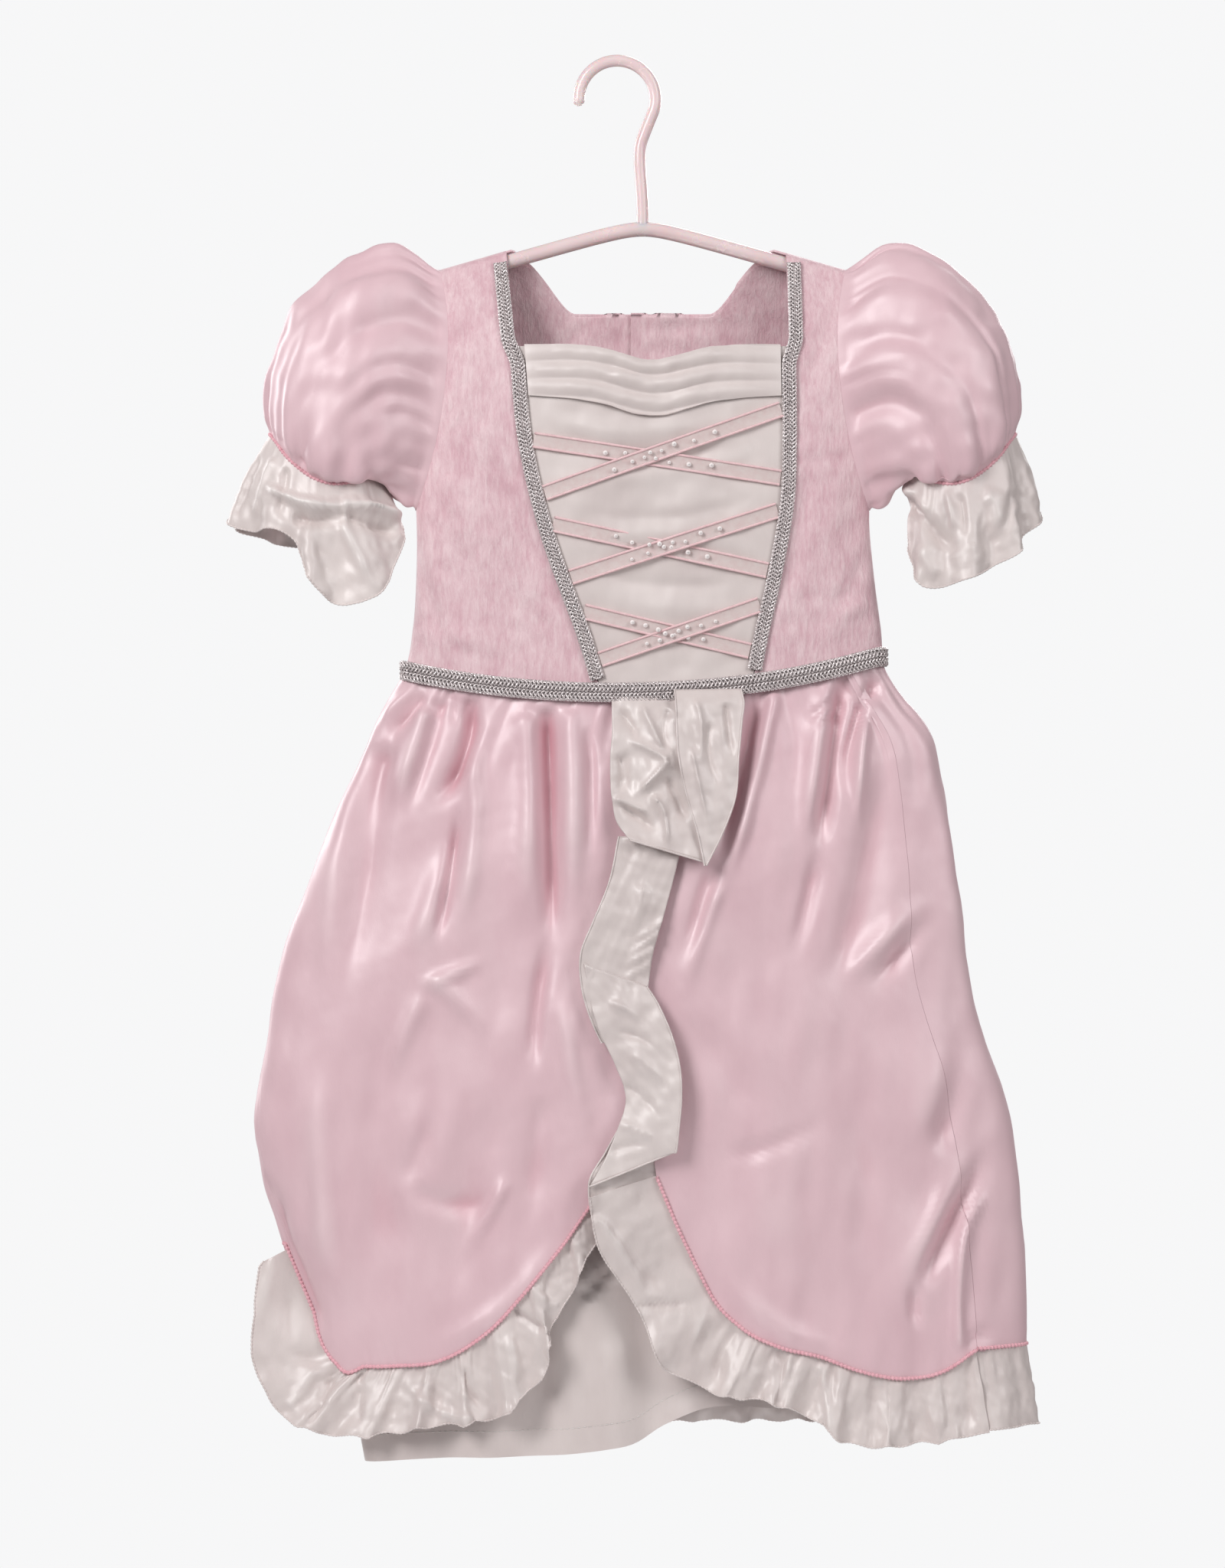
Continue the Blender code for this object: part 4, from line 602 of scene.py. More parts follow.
FOLDS_RUFFLE = fold_table(
    (-77, -726, -65, -735, -50, -742, 2.2, -3.0, 0.1, 0.4),
    (-105, -763, -100, -774, -91, -788, 2.4, -3.2, 0.1, 0.3), (-80, -742, -75, -756, -74, -772, 4.0, 2.4),
    (-141, -766, -118, -787, -86, -790, 2.6, 2.2, 0.3, 0.3),
    (-124, -762, -120, -778, -122, -796, 3.0, -2.2, 0.1, 0.3),
    (-203, -710, -208, -735, -203, -751, 5.0, -2.2),
    (-190, -762, -200, -777, -208, -788, 3.5, 2.4, 0.2, 0.2),
    (-180, -762, -187, -780, -196, -796, 2.6, -2.6, 0.1, 0.2),
    (-165, -764, -166, -778, -166, -798, 3.0, -2.2, 0.1, 0.2),
    (-212, -700, -222, -722, -224, -746, 4.0, 1.8), (-66, -712, -56, -722, -46, -728, 2.4, 2.2, 0.1, 0.3),
    (-30, -672, -14, -690, 4, -722, 2.6, 2.6, 0.1, 0.3),
    (-6, -726, 12, -724, 34, -724, 2.6, -2.8, 0.2, 0.3), (2, -700, 6, -712, 16, -722, 4.0, -2.0),
    (40, -728, 30, -742, 26, -764, 4.0, 2.0, 0.2, 0.3), (56, -738, 46, -752, 42, -776, 3.0, -2.4, 0.1, 0.2),
    (80, -748, 80, -764, 78, -784, 3.0, -2.8, 0.1, 0.1),
    (104, -758, 107, -778, 109, -800, 3.0, 3.0, 0.1, 0.1),
    (140, -768, 142, -786, 140, -806, 5.0, -1.8, 0.1, 0.2),
    (189, -752, 190, -770, 191, -798, 3.0, -2.6, 0.1, 0.1),
)
FOLDS_UNDER = fold_table(
    (-40, -726, -28, -716, -10, -700, 3.0, -4.5, 0.3, 0.3),
    (-44, -718, -30, -706, -14, -690, 3.5, 3.5, 0.3, 0.3),
    (-60, -760, -56, -782, -60, -812, 8.0, -2.5, 0.3, 0.2),
    (-20, -740, -14, -770, -16, -808, 12, 2.5, 0.3, 0.2),
    (30, -736, 26, -760, 20, -790, 10, -2.0, 0.3, 0.2),
)
# On the cuff ruffles the places count outwards from the centre on both sides
FOLDS_CUFF_RIGHT = fold_table(
    (136, -226, 146, -244, 153, -264, 2.4, 3.0, 0.1, 0.3),
    (143, -228, 156, -250, 170, -272, 3.0, 3.4, 0.1, 0.3),
    (140, -230, 150, -250, 160, -268, 2.2, -3.0, 0.1, 0.3),
    (156, -252, 167, -270, 182, -288, 4.0, -3.8, 0.1, 0.3),
    (176, -249, 180, -262, 181, -276, 2.2, 2.8, 0.2, 0.3),
    (184, -252, 186, -264, 187, -280, 2.2, -2.4, 0.2, 0.4),
    (196, -252, 206, -262, 203, -280, 6.0, 3.0, 0.2, 0.4),
    (216, -250, 214, -262, 208, -282, 3.0, -2.6, 0.2, 0.3),
    (162, -280, 166, -292, 172, -304, 5.0, 2.0, 0.3, 0.3),
)
FOLDS_CUFF_LEFT = fold_table(
    (222, -246, 196, -258, 170, -258, 2.6, 4.2, 0.2, 0.1),
    (176, -258, 156, -260, 138, -267, 2.6, 4.2, 0.1, 0.2),
    (206, -266, 190, -268, 172, -266, 3.6, -4.2, 0.2, 0.1),
    (174, -266, 158, -270, 142, -275, 3.4, -4.0, 0.1, 0.2),
    (180, -262, 171, -278, 156, -310, 3.6, 3.2, 0.2, 0.3),
    (188, -268, 186, -284, 180, -306, 5.0, -2.2, 0.3, 0.3),
    (225, -228, 232, -246, 240, -266, 2.2, -2.2, 0.1, 0.2),
    (216, -230, 222, -248, 228, -268, 2.2, 2.2, 0.1, 0.2),
    (208, -236, 210, -252, 214, -268, 2.4, -2.2, 0.1, 0.3),
)

# The cascade down the front, in four overlapping lengths of one ruffle: edges, how far each stands
# out from the body, and how much lower the left and the right end of a row hang
CASCADE_COLUMNS = "z left right out_left out_right low_left low_right"
CASCADES = {
    "under": table(
        CASCADE_COLUMNS,
        (-371, -18, 34, 0.9, 0.9, 0, 0), (-380, -18, 35, 4.5, 5.0, 0, 0), (-392, -18, 37, 7.0, 8.0, 0, 0),
        (-405, -19, 38, 7.5, 9.0, 0, 0), (-430, -18, 38, 8.0, 9.0, 0, 0), (-446, -15, 37, 8.5, 10.0, -2, 3),
        (-459, -8, 36, 10.0, 11.5, -5, 8),
    ),
    "leaf": table(
        CASCADE_COLUMNS,
        (-364, 18.5, 57, 4.0, 4.0, 2.5, 2), (-373, 19, 58.5, 8.5, 7.0, 1, 1),
        (-384, 19.5, 57.5, 10.0, 7.5, 0, 0), (-404, 20.5, 55.5, 11.5, 8.5, 0, 0),
        (-431, 26, 53, 12.5, 9.5, 0, 0), (-450, 31.5, 46, 13.0, 11.0, 0, 0),
        (-469, 35.5, 36.5, 13.0, 13.0, 0, 0),
    ),
    "band": table(
        CASCADE_COLUMNS,
        (-452, -14, 24, 6.0, 5.0, 0, 0), (-480, -20, 17, 7.5, 5.0, 0, 0), (-502, -29, 11, 8.5, 5.0, 0, 0),
        (-520, -36, 6, 9.0, 5.0, 0, 0), (-536, -36, 3.5, 9.0, 5.0, 0, 0), (-556, -31, 1, 8.0, 5.0, 0, 0),
        (-572, -24, -2, 6.0, 5.0, 0, 0),
    ),
    "tail": table(
        CASCADE_COLUMNS,
        (-618, -12, 12, 5.0, 2.0, 0, 0), (-636, -22, 12, 7.0, 0.8, 0, 0), (-648, -31, 12, 9.2, -0.8, 4, 0),
        (-656, -31, 14, 8.2, -2.2, 8, 0), (-672, -26, 20, 4.0, -4.0, 8, 0),
    ),
    "lobe": table(
        CASCADE_COLUMNS,
        (-531, -34, 2, 8.5, 6.0, -5, 8), (-550, -30, 9, 8.5, 8.5, 0, 0), (-566, -25, 16, 8.0, 11.0, 0, 0),
        (-585, -16, 21, 7.5, 12.5, 0, 0), (-604, -10, 22, 7.5, 13.0, 0, 0),
        (-622, -15, 20.5, 9.0, 12.5, 0, 0), (-637, -23, 19, 10.5, 11.0, 4, -2),
        (-646, -31, 18, 11.5, 9.5, 9, -11),
    ),
}
CASCADE_FOLDS = fold_table(
    (-11, -395, 3, -401, 16, -408, 2.2, 2.6, 0.4, 0.1), (15, -408, 5, -419, -6, -430, 1.8, 2.6, 0.05, 0.4),
    (-9, -400, -10, -413, -9, -427, 2.4, -1.6, 0.3, 0.3),
    (13, -414, 19, -429, 27, -446, 3.4, -3.2, 0.3, 0.3),
    (-17, -432, -4, -440, 9, -450, 3.0, -2.8, 0.4, 0.3), (4, -428, 12, -438, 14, -458, 1.8, 2.4, 0.2, 0.2),
    (-17, -430, -6, -434, 4, -440, 1.6, 2.0, 0.1, 0.3),
    (-16, -376, -8, -386, -2, -396, 2.8, -2.6, 0.4, 0.3), (0, -376, 6, -390, 12, -402, 1.8, 2.2, 0.1, 0.2),
    (16, -378, 12, -390, 16, -404, 2.0, -1.6, 0.1, 0.3),
    (-14, -404, -12, -416, -14, -428, 2.0, -2.0, 0.2, 0.2),
    (-12, -452, 0, -456, 12, -462, 1.8, 1.6, 0.2, 0.3), (30, -372, 34, -388, 33, -410, 2.4, 1.6, 0.1, 0.4),
    (48, -374, 50, -392, 53, -410, 2.0, -2.0, 0.1, 0.4),
    (40, -384, 38, -402, 44, -424, 2.2, -1.6, 0.2, 0.3), (28, -400, 32, -420, 38, -446, 1.8, 1.6, 0.2, 0.3),
    (0, -474, -2, -492, -10, -508, 5.0, 1.4), (14, -500, 2, -508, -10, -514, 1.6, 1.2, 0.1, 0.5),
    (10, -508, 0, -515, -10, -521, 1.6, 1.2, 0.1, 0.5), (7, -517, -3, -523, -12, -528, 1.6, 1.2, 0.1, 0.5),
    (5, -526, -4, -531, -12, -534, 1.6, 1.1, 0.1, 0.5), (-22, -548, -10, -552, 0, -562, 2.2, 1.6),
    (-18, -566, -4, -568, 10, -578, 2.2, -1.6), (-10, -578, 4, -586, 14, -600, 3.0, 1.5),
    (-12, -596, 0, -604, 12, -618, 2.4, -1.5, 0.2, 0.4),
    (-16, -618, -4, -622, 10, -630, 2.4, 1.5, 0.3, 0.3),
    (-24, -636, -10, -632, 6, -630, 2.4, -1.3, 0.3, 0.3),
)


def fold_field(x, z, folds, sharp=False):
    """Height that the listed folds add at points of the front or the back."""
    height = np.zeros_like(x)
    t = np.linspace(0, 1, FOLD_STEPS + 1)[:, None]
    columns = (folds[name] for name in FOLD_COLUMNS.split())
    for x0, z0, x1, z1, x2, z2, width, rise_mm, rise, fall in zip(*columns):
        start, middle, end = np.array([[x0, z0]]), np.array([[x1, z1]]), np.array([[x2, z2]])
        control = 2 * middle - (start + end) / 2
        path = (1 - t) ** 2 * start + 2 * t * (1 - t) * control + t**2 * end
        near = np.full_like(x, np.inf)
        along = np.zeros_like(x)
        for step in range(FOLD_STEPS):
            (ax, az), (dx, dz) = path[step], path[step + 1] - path[step]
            part_way = np.clip(((x - ax) * dx + (z - az) * dz) / (dx * dx + dz * dz), 0, 1)
            distance = np.hypot(x - ax - part_way * dx, z - az - part_way * dz)
            along = np.where(distance < near, (step + part_way) / FOLD_STEPS, along)
            near = np.minimum(near, distance)
        taper = ease(0, rise, along) * (1 - ease(1 - fall, 1, along))
        height += rise_mm * taper * (np.exp(-near / width) if sharp else np.exp(-((near / width) ** 2)))
    return height


def crinkle(points, wavelength, seed, stretch=(1, 1, 1)):
    """A seeded field of small unevenness, mostly between -1 and 1, made of waves in many directions."""
    draw = np.random.default_rng(seed)
    total = np.zeros(points.shape[:-1])
    for _ in range(CRINKLE_WAVES):
        way = draw.normal(size=3)
        way *= draw.uniform(0.7, 1.4) * 2 * math.pi / wavelength / np.linalg.norm(way)
        total += np.sin(points @ (way * stretch) + draw.uniform(0, 2 * math.pi))
    return total / math.sqrt(CRINKLE_WAVES)


def puckers(place, drop, span, count, seed, length=(10, 70), depth=(0.6, 2.0), width=(1.6, 4.0)):
    """Gathers at a seam: troughs uneven in place, length, depth and width, which fade with the drop."""
    draw = np.random.default_rng(seed)
    total = np.zeros(np.broadcast(place, drop).shape)
    centres = (np.arange(count) + draw.uniform(0.1, 0.9, count)) / count
    for centre in centres:
        reach = length[0] + (length[1] - length[0]) * draw.uniform(0, 1) ** 2.2
        deep = draw.uniform(*depth) * (0.6 + 0.4 * (reach > sum(length) / 3))
        wide = draw.uniform(*width)
        lean = draw.uniform(-0.06, 0.06)
        part = np.clip(drop / reach, 0, 1)
        distance = ((place - centre) * span - lean * drop) / (wide * (1 + 0.8 * part))
        total -= deep * (0.6 + 0.4 * ease(0, 0.2, part)) * (1 - part) ** 1.3 * np.exp(-(distance**2))
    return total


# Making cloth


def way_out(grid, closed=False, flip=False):
    """Directions square to a grid of points, out of the garment."""
    down = np.gradient(grid, axis=0)
    across = np.roll(grid, -1, axis=1) - np.roll(grid, 1, axis=1) if closed else np.gradient(grid, axis=1)
    way = np.cross(down, across)
    way /= np.maximum(np.linalg.norm(way, axis=-1, keepdims=True), 1e-9)
    return -way if flip else way


def raised(grid, height, closed=False, flip=False):
    """A grid with each point moved out by its height."""
    return grid + way_out(grid, closed, flip) * height[..., None]


def faces_of(rows, columns, closed=False, flip=False):
    """Four-sided faces of a grid whose rows run down and whose columns run across."""
    r, c = np.meshgrid(np.arange(rows - 1), np.arange(columns if closed else columns - 1), indexing="ij")
    d = (c + 1) % columns
    corners = (r * columns + c, (r + 1) * columns + c, (r + 1) * columns + d, r * columns + d)
    faces = np.stack(corners, axis=-1).reshape(-1, 4)
    return faces[:, ::-1] if flip else faces


def share_grid(columns, rows, closed=False):
    """Shares across and down a grid. In a closed grid the last column stops short of the first."""
    across = np.arange(columns) / columns if closed else np.linspace(0, 1, columns)
    return np.meshgrid(across, np.linspace(0, 1, rows))


def piece(name, points, faces, look, slot):
    """A named piece of the dress, which rides with it."""
    mesh = bpy.data.meshes.new(name)
    mesh.from_pydata(((points + (DRESS_X, 0, 0)) * MM).tolist(), [], faces.tolist())
    mesh.update()
    mesh.shade_smooth()
    mesh.materials.append(look)
    made = bpy.data.objects.new(name, mesh)
    bpy.context.scene.collection.objects.link(made)
    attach(made, "root")
    return made


def thicken(made, thick, offset=-1.0):
    """Gives a sheet its thickness, behind its faces or, with an offset of 0, to both sides of them."""
    solid = made.modifiers.new("thickness", "SOLIDIFY")
    solid.thickness = thick * MM
    solid.offset = offset


def cloth(name, grid, looks, slot, replaces, thick=CLOTH, closed=False, flip=False,
          depth=None):
    """A thin shell whose outside is a grid of points. It stands for its solid."""
    faces = faces_of(*grid.shape[:2], closed, flip)
    made = piece(name, grid.reshape(-1, 3), faces, looks[slot], slot)
    # The fold height, stored as the mask for the satin's painted shade in troughs and painted highlight on
    # crests.
    if depth is not None:
        made.data.attributes.new("fold", "FLOAT", "POINT").data.foreach_set("value", depth.ravel())
    corner_edges = np.zeros(len(made.data.loops), int)
    made.data.loops.foreach_get("edge_index", corner_edges)
    rim = np.bincount(corner_edges, minlength=len(made.data.edges)) == 1
    made.data.attributes.new("sharp_edge", "BOOLEAN", "EDGE").data.foreach_set("value", rim)
    thicken(made, thick)
    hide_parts(replaces)


def joined(parts):
    """Points and faces of several meshes as one."""
    start = np.cumsum([0] + [len(points) for points, _ in parts[:-1]])
    points = np.concatenate([points for points, _ in parts])
    return points, np.concatenate([faces + first for (_, faces), first in zip(parts, start)])


def headings(path):
    """Direction of a path at each of its points."""
    way = np.gradient(path, axis=0)
    return way / np.maximum(np.linalg.norm(way, axis=1, keepdims=True), 1e-9)


def tube_mesh(path, radius, sides=6):
    """A tube along a path, with a radius for each point, as points and faces. Folded faces close its ends."""
    path = np.asarray(path, float)
    heading = headings(path)
    side = np.cross(heading[0], (0.31, 0.53, 0.79))
    frames = []
    for way in heading:
        side = side - way * (side @ way)
        side /= np.linalg.norm(side)
        frames.append((side, np.cross(way, side)))
    frames = np.array(frames)[:, :, None]
    turn = (np.arange(sides) * 2 * math.pi / sides)[None, :, None]
    ring = frames[:, 0] * np.cos(turn) + frames[:, 1] * np.sin(turn)
    points = path[:, None] + ring * np.broadcast_to(radius, len(path))[:, None, None]
    caps = []
    for first, turned in ((0, True), ((len(path) - 1) * sides, False)):
        for k in range(sides // 2 - 1):
            cap = [first + k, first + k + 1, first + sides - 2 - k, first + sides - 1 - k]
            caps.append(cap if turned else cap[::-1])
    faces = faces_of(len(path), sides, closed=True, flip=True)
    return points.reshape(-1, 3), np.concatenate([faces, np.array(caps)])


def run_length(path):
    """Length along a path at each of its points."""
    return np.concatenate([[0], np.cumsum(np.linalg.norm(np.diff(path, axis=0), axis=1))])


def read_path(path, keys, at):
    """Points of a path at places on it, where the keys are the places of its own points."""
    return np.stack([np.interp(at, keys, path[:, k]) for k in range(3)], axis=-1)


def even_steps(path, step):
    """A path's points moved to even steps along it."""
    length = run_length(path)
    return read_path(path, length, np.linspace(0, length[-1], max(2, int(round(length[-1] / step)) + 1)))


# Bodice


def bodice_relief(grid, side, folds):
    """Creases and soft unevenness of a bodice piece, held flat along its edges."""
    rows, columns = grid.shape[:2]
    across, t = share_grid(columns, rows)
    held = ease(0, 0.14, across) * ease(0, 0.14, 1 - across) * ease(0, 0.05, t) * ease(0, 0.08, 1 - t)
    seed = 11 + 3 * side
    soft = 0.5 * crinkle(grid, 34, seed, (1, 1, 0.6)) + 0.22 * crinkle(grid, 13, seed + 1)
    return (fold_field(grid[..., 0], grid[..., 2], folds) + soft) * held


# Width and length laid flat of what shows, in metres
SIDE_FRONT_CUT = {"left": (0.085, 0.24), "right": (0.06, 0.235)}
BACK_CUT = (0.14, 0.25)


def build_bodice(looks):
    """Velvet side fronts and backs, the satin centre front and the folded satin at the neck."""
    cap_rows = np.linspace(0, CAP_SHARE, CAP_ROWS)[:-1]
    rows = np.concatenate([cap_rows, np.linspace(CAP_SHARE, 1, BODICE_ROWS_FINE)])
    for name, sign in (("left", -1), ("right", 1)):
        parts = (
            ("side_front", side_front(sign), SIDE_FRONT_COLUMNS, FOLDS_BODICE, SIDE_FRONT_CUT[name]),
            ("back", half_back(sign), BACK_COLUMNS_FINE, FOLDS_BODICE_BACK, BACK_CUT),
        )
        for part, shape, columns, folds, flat in parts:
            grid = shape(*np.meshgrid(np.linspace(0, 1, columns), rows))
            grid = raised(grid, bodice_relief(grid, sign + 1, folds))
            solid = f"bodice_{part}_{name}"
            cloth(f"{solid}_velvet", grid, looks, "pink_velvet", solid, VELVET_CLOTH)
    grid = centre_front(*share_grid(*CENTRE_GRID))
    grid = raised(grid, bodice_relief(grid, 5, FOLDS_CENTRE))
    cloth("bodice_centre_satin", grid, looks, "white_satin", "bodice_centre_front")
    across, down = share_grid(*DRAPE_GRID)
    grid = neck_drape(across, down)
    soft = 0.5 * crinkle(grid, 24, 31, (1, 1, 2)) + 0.2 * crinkle(grid, 9, 32)
    grid = raised(grid, soft * np.sin(math.pi * across))
    cloth("neck_drape_satin", grid, looks, "white_satin", "neck_drape")


# Braids and lacing


def braid(node, centre, way, width, looks):
    """Silver braid along a line: two plaits of three cords between beaded edges, on a woven strip."""
    length = run_length(centre)
    at = np.linspace(0, length[-1], int(length[-1] / CORD_STEP))
    lines = (centre, way, np.cross(headings(centre), way))
    middle, up, side = (read_path(line, length, at) for line in lines)
    parts = []
    for lane in (-1, 1):
        for strand in range(3):
            turn = 2 * math.pi * (at / PLAIT_LENGTH + strand / 3)
            sideways = lane * width * PLAIT_PLACE + width * PLAIT_SWING * np.sin(turn)
            height = CORD_RADIUS + 0.5 + CORD_RADIUS * 0.9 * np.sin(2 * turn) * lane
            path = middle + side * sideways[:, None] + up * height[:, None]
            parts.append(tube_mesh(path, CORD_RADIUS, 5))
        edge = middle + side * (lane * width * BRAID_EDGE) + up * 0.7
        parts.append(tube_mesh(edge, EDGE_RADIUS + EDGE_BEAD * np.cos(2 * math.pi * at / EDGE_PITCH), 5))
    cords = piece(f"{node}_cords", *joined(parts), looks["silver"], "silver_braid")
    strip = np.stack([middle + side * (k * width / 2) + up * 0.3 for k in (1, -1)], axis=1)
    points, faces = strip.reshape(-1, 3), faces_of(len(strip), 2)
    backing = piece(f"{node}_cords_backing", points, faces, looks["silver_base"], "silver_braid")
    thicken(backing, 0.5, 0.0)
    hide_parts(node)


def build_braids(looks):
    """Braid on both princess lines and round the waist."""
    for column, sign in (("left", -1), ("right", 1)):
        foot_x = read(PRINCESS, "z", column, WAIST_GUESS)
        z = np.linspace(BRAID_TOP, waist_z(foot_x, True) + WAIST_BRAID / 2 + BRAID_FOOT, BRAID_POINTS)
        outward = ease(*STRAP_JOIN, z) * sign * (PRINCESS_BRAID / 2 + 0.4)
        x = read(PRINCESS, "z", column, z) + outward
        centre = front_point(x, z, BRAID_LIFT)
        way = front_point(x, z, BRAID_LIFT + 1) - centre
        braid(f"princess_braid_{column}", centre, way, PRINCESS_BRAID, looks)
    s = np.linspace(0, 1, WAIST_POINTS)
    s = s - BRAID_CROWDING * np.sin(4 * math.pi * s) / (4 * math.pi)
    z = waist_z(spot(WAIST_GUESS + 0 * s, s)[..., 0], s < 0.5)
    centre = body_point(z, s, BRAID_LIFT)
    braid("waist_braid", centre, body_point(z, s, BRAID_LIFT + 1) - centre, WAIST_BRAID, looks)


def lacing_line(left_z, right_z, over):
    """Centre line of a lacing ribbon, the way out from the cloth, and the way across it."""
    left_x = read(PRINCESS, "z", "left", left_z) + RIBBON_START
    right_x = read(PRINCESS, "z", "right", right_z) - RIBBON_START
    t = np.linspace(0, 1, LACE_POINTS)
    hump = np.sin(math.pi * t) ** 2 * RIBBON_RISE if over else 0 * t
    x, z = left_x + (right_x - left_x) * t, left_z + (right_z - left_z) * t
    lift = RIBBON_LIFT + 0.7 + hump
    centre = front_point(x, z, lift)
    way = front_point(x, z, lift + 1) - centre
    return centre, way, np.cross(headings(centre), way)


def build_lacing(looks):
    """Sheer ribbons with pink woven edges, crossing three times, with small beads at each crossing."""
    half = RIBBON_WIDE / 2 - RIBBON_EDGE
    for index, (name, ends) in enumerate(LACES.items()):
        centre, way, side = lacing_line(*ends)
        ripple = 0.25 * np.sin(np.linspace(0, 22, LACE_POINTS) + index)
        ripple += 0.2 * np.sin(np.linspace(0, 9, LACE_POINTS) + 2 * index)
        centre = centre + way * ripple[:, None]
        rows = [centre + side * (k * half) - way * (0.35 * (1 - k * k)) for k in np.linspace(1, -1, 9)]
        cloth(f"{name}_ribbon", np.stack(rows, axis=1), looks, "organza", name, 0.25)
        edges = [tube_mesh(centre + side * (k * half), RIBBON_EDGE_RADIUS, 6) for k in (1, -1)]
        piece(f"{name}_edges", *joined(edges), looks["ribbon_edge"], "organza")
    beads = []
    draw = np.random.default_rng(5)
    for left_z, right_z, over in LACES.values():
        centre, way, side = lacing_line(left_z, right_z, over)
        for k in BEAD_PLACES:
            at = int(k * (LACE_POINTS - 1))
            covered = not over and abs(k - 0.5) < 0.06
            lift = BEAD_LIFT + (BEAD_OVER if covered else 0)
            place = centre[at] + side[at] * draw.uniform(-1.6, 1.6) + way[at] * lift
            beads.append(bead(place, draw.uniform(1.15, 1.6)))
    piece("lacing_beads", *joined(beads), looks["pearl"], "organza")


def bead(place, radius, sides=10, rings=7):
    """A small round bead, as points and faces: a tube whose radius follows a circle."""
    angle = np.linspace(0.12, math.pi - 0.12, rings)
    path = place + np.stack([0 * angle, -radius * np.cos(angle), 0 * angle], axis=1)
    return tube_mesh(path, radius * np.sin(angle), sides)


# Skirts


def overskirt(start, end, hem_share, hem_z):
    """A satin panel between two edges, given as girth shares by height, down to its hem."""

    def shape(across, t):
        hem = smooth(hem_share, hem_z, across)
        top = WAIST_GUESS + 0 * across
        for _ in range(4):
            seam = start(top) + (end(top) - start(top)) * across
            top = waist_z(spot(top, seam)[..., 0], seam < 0.5) - WAIST_SEAM
        z = top + (hem - top) * t
        return body_point(z, start(z) + (end(z) - start(z)) * across, -SKIRT_TUCK)

    return shape


def side_seam(share):
    """Edge of a skirt panel at a side seam: one girth share at all heights."""
    return lambda z: share + 0 * z


def front_opening(column):
    """Front edge of a skirt panel: its girth share at each height."""
    return lambda z: share_at(z, read(OPENING, "z", column, z))


def front_hem(rows, start, end):
    """Shares across a front panel of its hem table's rows."""
    first, last = start(rows["z"]), end(rows["z"])
    return (share_at(rows["z"], rows["x"]) - first) / (last - first)


def skirt_relief(grid):
    """Placed folds and soft unevenness of the overskirt, which run on across its seams."""
    x, y, z = (grid[..., k] for k in range(3))
    front = fold_field(x, z, FOLDS_LEFT) + fold_field(x, z, FOLDS_RIGHT)
    folds = np.where(y < 0, front, fold_field(x, z, FOLDS_BACK)) * ease(0, TURN_DEPTH, np.abs(y))
    soft = 1.3 * crinkle(grid, 80, 62, (1.2, 1, 0.7)) + 0.5 * crinkle(grid, 30, 63, (1.3, 1, 0.7))
    relief = FOLD_SCALE * folds + soft + 0.07 * crinkle(grid, 9, 64)
    return relief * (0.1 + 0.9 * ease(0, HOLD_DROP, grid[:1, :, 2] - z))


def skirt_grid(shape, columns, gathers, seed):
    """A skirt panel with its gathers at the waist, listed folds and small creases."""
    rows = np.linspace(0, 1, SKIRT_ROWS_FINE) ** SKIRT_ROW_POWER
    across, down = np.meshgrid(np.linspace(0, 1, columns), rows)
    grid = shape(across, down)
    drop = grid[:1, :, 2] - grid[..., 2]
    rise = grid[..., 2] - grid[-1:, :, 2]
    span = np.linalg.norm(np.diff(grid, axis=1), axis=-1).sum(axis=1)[:, None]
    held = np.minimum(1, np.minimum(across, 1 - across) * span / 7)
    height = puckers(across, drop, span, gathers, seed, (30, 170), (1.4, 3.6), (2.6, 6.0))
    height += puckers(across, drop, span, gathers * 2, seed + 1, (8, 40), (0.6, 1.7), (1.1, 2.4))
    height += puckers(across, rise, span, gathers * 2, seed + 5, (5, 30), (0.2, 0.9), (1.6, 3.2))
    height = height * held + skirt_relief(grid)
    return raised(grid, height), height


def ruffle_grid(hem, shares, reach, lift, waves, facing, columns, seed):
    """A ruffle sewn under a panel's hem, gathered at the seam and wavy at its edge."""
    across, t = share_grid(columns, RUFFLE_ROWS)
    along = shares[0] + (shares[-1] - shares[0]) * across
    front = facing(along)
    root = read_path(hem, np.linspace(0, 1, len(hem)), along)
    root = root + np.stack([0 * front, -0.9 * front, RUFFLE_SEAM + 0 * front], axis=-1)
    dx, dz = (smooth(shares, values, along) for values in reach)
    fade = np.minimum(1, 6 * np.minimum(across, 1 - across))
    phase = 2 * math.pi * waves * across
    uneven = phase + 0.7 * np.sin(3 * across)
    out = smooth(shares, lift, along) * t**LIFT_POWER + 4.0 * np.sin(uneven) * fade * t**WAVE_POWER
    out += 1.5 * np.sin(phase * 2.3 + seed) * fade * t**2
    sway = 1.6 * np.cos(uneven) * fade * t
    dip = 0.9 * np.sin(phase * 1.7 + seed) * fade * t**2
    grid = root + np.stack([dx * t + sway, front * out, dz * t + dip], axis=-1)
    length = np.linalg.norm(np.diff(hem, axis=0), axis=1).sum()
    fall = t * np.hypot(dx, dz)
    height = puckers(across, fall, length, int(length / 5.0), seed, (8, 40), (0.6, 1.8), (0.9, 2.0))
    height += puckers(across, fall, length, int(length / 20), seed + 7, (30, 70), (1.4, 3.4), (2.2, 4.5))
    height += 0.7 * crinkle(grid, 17, seed + 1) * t + 0.28 * crinkle(grid, 6, seed + 2) * np.minimum(1, 3 * t)
    height += fold_field(grid[..., 0], grid[..., 2], FOLDS_RUFFLE) * ease(0.5, 1, -front)
    height = height * np.minimum(1, 0.4 + 3 * t)
    grid = raised(grid, height)
    if seed == RUFFLE_BACK_SEED:
        grid[:, 0] += (-RUFFLE_LAP, RUFFLE_LAP / 2, 0)
    return grid, height


